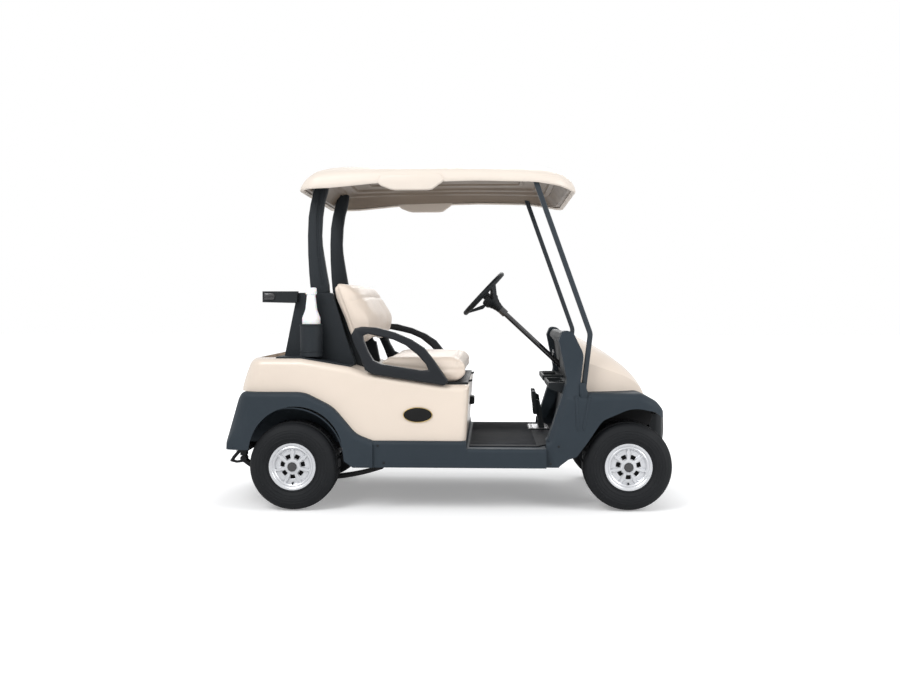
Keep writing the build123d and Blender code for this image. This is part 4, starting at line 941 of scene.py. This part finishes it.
def leaning_fender():
    """The rear fender, which leans in towards its top and opens out behind the tyre at its foot."""
    fender = rested("rear_fender")
    sliced(fender, LENGTHWISE, [-0.94 - 0.018 * k for k in range(12)])
    sliced(fender, UPRIGHT, [0.26 + 0.024 * k for k in range(13)])
    for vertex in fender.data.vertices:
        co = vertex.co
        lean = FENDER_LEAN * clamp((co.z - 0.33) / 0.26) * clamp((-0.94 - co.x) / 0.18)
        foot = clamp((0.43 - co.z) / 0.10)
        opened = FENDER_FLARE * foot * clamp((-0.97 - co.x) / 0.05) * clamp((co.x + 1.10) / 0.05)
        co.x += lean - opened
    smooth(fender, 30)
    finished(fender, "rear_fender_shell", dark_moulding, "chassis", ("rear_fender",))


def front_moulding():
    """The front moulding, with its tips cut back above the bumper."""
    tip = ((0.985, 0.10), (1.30, 0.10), (1.30, 0.462), (1.058, 0.465), (1.040, 0.480), (1.005, 0.497),
           (0.990, 0.480), (0.985, 0.30))
    cutters = [slab(tip, *y_span(side, 0.36, 0.70)) for side in (-1, 1)]
    moulding = smooth(cut(rested("front_moulding"), *cutters), 35)
    finished(moulding, "front_moulding_shell", dark_moulding, "chassis", ("front_moulding",))


leaning_body()
leaning_fender()
front_moulding()


# ---- Undercarriage and tail fittings ---------------------------------------------------------
def tail_fittings():
    """The bright brackets under the tail and the dark shackles behind the leaf springs."""
    bright, dark = [], []
    for side in (-1, 1):
        y = side * SPRING_Y
        low_y, high_y = y_span(side, SPRING_Y, SPRING_Y + 0.06)
        bright.append(bar((-1.100, low_y, 0.292), (-1.048, high_y, 0.297), 0.001, 1))
        bright.append(bar((-1.098, y - 0.003, 0.262), (-1.060, y + 0.003, 0.296), 0.001, 1))
        dark.append(pipe([(-1.075, y, 0.272), (-1.110, y, 0.232), (-1.120, y, 0.214)], 0.009))
        dark.append(pipe([(-1.128, y, 0.216), (-1.095, y, 0.208), (-1.050, y, 0.214)], 0.007))
    finished(smooth(joined(*bright), 40), "tail_brackets", steel)
    finished(smooth(joined(*dark), 40), "spring_shackles", frame_paint)


def spring_clamps():
    """Clamps round the plain spring packs, and the bolts that hold them to the axle."""
    made = []
    for side in (-1, 1):
        low_y, high_y = side * SPRING_Y - 0.026, side * SPRING_Y + 0.026
        for x in (-0.93, -0.60):
            made.append(bar((x - 0.010, low_y, 0.150), (x + 0.010, high_y, 0.196), 0.002))
        for x in (-0.785, -0.727):
            for y in (low_y + 0.002, high_y - 0.002):
                made.append(pipe([(x, y, 0.290), (x, y, 0.128)], 0.005, 10))
    finished(smooth(joined(*made), 40), "spring_clamps", frame_paint)


tail_fittings()
spring_clamps()


# ---- Driver's controls and small fittings ----------------------------------------------------
KEY_PLACE = (0.5765, 0.120, 0.760)
PEDAL_FACE_X, PEDAL_LEAN = 0.4685, 0.0075
HEEL_PLATE_Z = 0.329
LINER_INNER, LINER_OUTER = 0.214, 0.222
GRIP_RADIUS, GRIP_THICKNESS, FINGER_NOTCHES = 0.150, 0.0142, 32
CUP_X, CUP_Y, CUP_RADIUS = 0.562, 0.390, 0.0395
PEDAL_RIB_PITCH = 0.012
ROCKER_SCREW_Y, SCREW_RADIUS, SCREW_HEIGHT = 0.588, 0.0065, 0.0022


def key_switch():
    """The lock and its bright bezel on the dash."""
    bezel = turned(((0, 0.004), (0.013, 0.004), (0.016, 0.002), (0.016, -0.004), (0, -0.004)), 28)
    lock = turned(((0, 0.007), (0.008, 0.007), (0.009, 0.004), (0, 0.004)), 24)
    for piece in (bezel, lock):
        settle(piece, KEY_PLACE, (0, 0, pi / 2))
    finished(smooth(bezel, 40), "key_bezel", steel)
    finished(smooth(lock, 40), "key_lock", black_plastic)


def steering_grip():
    """The moulded grip on the rim, the boot under the hub and the blank pad on top of it."""
    alone()
    bpy.ops.mesh.primitive_torus_add(major_radius=GRIP_RADIUS, minor_radius=GRIP_THICKNESS,
                                     major_segments=160, minor_segments=14)
    grip = bpy.context.object
    for vertex in grip.data.vertices:
        co = vertex.co
        turn = atan2(co.y, co.x)
        middle = Vector((GRIP_RADIUS * cos(turn), GRIP_RADIUS * sin(turn), 0))
        inner = clamp((GRIP_RADIUS - (co.x ** 2 + co.y ** 2) ** 0.5) / GRIP_THICKNESS)
        vertex.co = middle + (co - middle) * (1 + 0.10 * inner * cos(turn * FINGER_NOTCHES))
    boot = turned(((0, -0.060), (0.047, -0.060), (0.046, -0.068), (0.036, -0.080), (0.034, -0.088),
                   (0.028, -0.098), (0.027, -0.108), (0.023, -0.120), (0.0225, -0.132), (0, -0.132)), 40)
    pad = turned(((0, -0.026), (0.030, -0.027), (0.041, -0.031), (0.046, -0.038), (0.047, -0.046),
                  (0, -0.046)), 40)
    for piece in (boot, pad):
        settle(piece, (0, 0, 0), (pi / 2, 0, 0))
    whole = joined(grip, boot, pad)
    settle(whole, STEERING_HUB, (0, radians(COLUMN_DEGREES) - pi / 2, 0))
    finished(smooth(whole, 50), "steering_grip", black_plastic, "steering_wheel")


def wheel_wells():
    """The dark liners inside the front wheel arches."""
    liner = ((0.640, 0.320), (0.665, 0.520), (0.720, 0.548), (1.000, 0.548), (1.055, 0.500), (1.075, 0.440),
             (1.060, 0.400), (1.000, 0.380), (0.960, 0.330))
    wells = [slab(liner, *y_span(side, LINER_INNER, LINER_OUTER), 0.002, 1) for side in (-1, 1)]
    finished(smooth(joined(*wells), 40), "wheel_well_liners", frame_paint)


def pedal_details():
    """Rubber ribs on the two pads, and a bright heel plate with its bolts."""
    ribs = []
    # the pads of the accelerator and the brake: middle, width, lowest and highest rib
    for middle, width, low_z, high_z in ((0.300, 0.084, 0.462, 0.532), (0.190, 0.054, 0.417, 0.527)):
        low_y, high_y = middle - width / 2, middle + width / 2
        for step in range(int((high_z - low_z) / PEDAL_RIB_PITCH)):
            z = low_z + PEDAL_RIB_PITCH * step
            x = PEDAL_FACE_X - PEDAL_LEAN * (z - low_z) / (high_z - low_z)
            ribs.append(bar((x - 0.003, low_y, z), (x + 0.004, high_y, z + 0.005), 0.001, 1))
    bright = [bar((0.446, 0.146, 0.3265), (0.556, 0.354, 0.3292), 0.001, 1)]
    for x in (0.458, 0.544):
        for y in (0.158, 0.245, 0.342):
            bolt = turned(((0, 0.006), (0.004, 0.006), (0.0065, 0.003), (0.007, 0), (0, 0)), 12)
            bright.append(settle(bolt, (x, y, HEEL_PLATE_Z), (pi / 2, 0, 0)))
    finished(smooth(joined(*ribs), 40), "pedal_treads", tyre_rubber)
    finished(smooth(joined(*bright), 40), "heel_plate", steel)


def tray_details():
    """Rolled edges round the cup holes and brackets under the trays."""
    bracket = ((0.530, 0.604), (0.612, 0.604), (0.612, 0.560), (0.560, 0.592))
    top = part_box("dash_trays")[1][2]
    made = []
    for side in (-1, 1):
        made.append(level_ring((CUP_X, side * CUP_Y, top + 0.0005), CUP_RADIUS, 0.0022))
        for y in (0.13, 0.42):
            made.append(slab(bracket, *y_span(side, y, y + 0.008), 0.002, 1))
    finished(smooth(joined(*made), 40), "tray_details", black_plastic)


def holder_rings():
    """Two rings round each bottle holder."""
    made = []
    for side in (-1, 1):
        for z in (0.790, 0.922):
            made.append(level_ring((BOTTLE_X, side * BOTTLE_Y, z), 0.0585, 0.0024))
    finished(smooth(joined(*made), 40), "holder_rings", tower_plastic)


def rocker_screws():
    """Round fastener heads along the rockers."""
    head_side = ((0, SCREW_HEIGHT), (SCREW_RADIUS * 0.55, SCREW_HEIGHT),
                 (SCREW_RADIUS * 0.9, SCREW_HEIGHT * 0.6), (SCREW_RADIUS, 0), (0, -0.002))
    heads = []
    for x, z in ((-0.330, 0.330), (0.560, 0.330), (-0.300, 0.245), (0.520, 0.245)):
        heads.append(settle(turned(head_side, 14), (x, -ROCKER_SCREW_Y, z), (0, 0, pi)))
    paired(smooth(joined(*heads), 40), "rocker_screws_{side}", black_plastic)


key_switch()
steering_grip()
wheel_wells()
pedal_details()
tray_details()
holder_rings()
rocker_screws()


# ---- Floor, light and camera ---------------------------------------------------------------
GLOW_FROM, GLOW_TO = 1.3, 4.5               # metres from the middle of the cart
NEAR_GLOW, FAR_GLOW = 0.26, 0.56
CAMERA_PLACE, CAMERA_LENS = (0.223, -5.32, 1.009), 38.7
CAMERA_DIP, CAMERA_TURN = 1.75, 2.37        # degrees


def pale_floor():
    """A plain floor that glows more away from the cart, so that it ends in plain white."""
    bpy.ops.mesh.primitive_plane_add(size=60)
    floor = bpy.context.object
    floor.name = "floor"
    mat, tree, shader, place = material("pale floor")
    feed(tree, shader, Base_Color=(0.86, 0.86, 0.86, 1), Roughness=0.9)
    away = tree.nodes.new("ShaderNodeVectorMath")
    away.operation = "LENGTH"
    tree.links.new(place, away.inputs[0])
    fade = ranged(tree, away.outputs["Value"], GLOW_FROM, GLOW_TO, NEAR_GLOW, FAR_GLOW, "SMOOTHSTEP")
    seen = tree.nodes.new("ShaderNodeLightPath")
    amount = tree.nodes.new("ShaderNodeMath")
    amount.operation = "MULTIPLY"
    tree.links.new(seen.outputs["Is Camera Ray"], amount.inputs[0])
    tree.links.new(fade, amount.inputs[1])
    glow = tree.nodes.new("ShaderNodeEmission")
    feed(tree, glow, Color=(1, 1, 1, 1), Strength=amount.outputs[0])
    both = tree.nodes.new("ShaderNodeAddShader")
    tree.links.new(shader.outputs[0], both.inputs[0])
    tree.links.new(glow.outputs[0], both.inputs[1])
    tree.links.new(both.outputs[0], tree.nodes["Material Output"].inputs["Surface"])
    floor.data.materials.append(mat)


def surroundings():
    """A soft grey light from all round, which is white to the camera and in reflections."""
    world = bpy.data.worlds.new("studio")
    bpy.context.scene.world = world
    world.use_nodes = True
    tree = world.node_tree
    light = feed(tree, tree.nodes["Background"], Color=(0.97, 0.98, 1.0, 1), Strength=0.66)
    white = feed(tree, tree.nodes.new("ShaderNodeBackground"), Color=(1, 1, 1, 1))
    path = tree.nodes.new("ShaderNodeLightPath")
    mirror_or_camera = tree.nodes.new("ShaderNodeMath")
    mirror_or_camera.operation = "MAXIMUM"
    tree.links.new(path.outputs["Is Camera Ray"], mirror_or_camera.inputs[0])
    tree.links.new(path.outputs["Is Glossy Ray"], mirror_or_camera.inputs[1])
    mix = tree.nodes.new("ShaderNodeMixShader")
    feed(tree, mix, Fac=mirror_or_camera.outputs[0])
    tree.links.new(light.outputs[0], mix.inputs[1])
    tree.links.new(white.outputs[0], mix.inputs[2])
    tree.links.new(mix.outputs[0], tree.nodes["World Output"].inputs["Surface"])


def lamps():
    """Three soft lamps."""
    # name, place, aims at, size, watts
    for name, place, aim, size, watts in (
            ("key", (-2.6, -4.2, 4.6), (0, 0, 0.7), 3.0, 200),
            ("front fill", (4.2, -2.6, 2.4), (0.4, 0, 0.6), 2.5, 90),
            ("far side", (0.5, 4.6, 4.0), (0, 0, 0.8), 3.0, 140)):
        bpy.ops.object.light_add(type="AREA", location=place)
        lamp = bpy.context.object
        lamp.name = name
        lamp.data.size = size
        lamp.data.energy = watts
        lamp.rotation_euler = (Vector(aim) - Vector(place)).to_track_quat("-Z", "Y").to_euler()


def side_camera():
    """A camera almost square to the right side, tipped down by under two degrees."""
    bpy.ops.object.camera_add(location=CAMERA_PLACE,
                              rotation=(radians(90 - CAMERA_DIP), 0, radians(CAMERA_TURN)))
    camera = bpy.context.object
    camera.data.lens = CAMERA_LENS
    bpy.context.scene.camera = camera
    bpy.context.scene.view_settings.view_transform = "Standard"


pale_floor()
surroundings()
lamps()
side_camera()
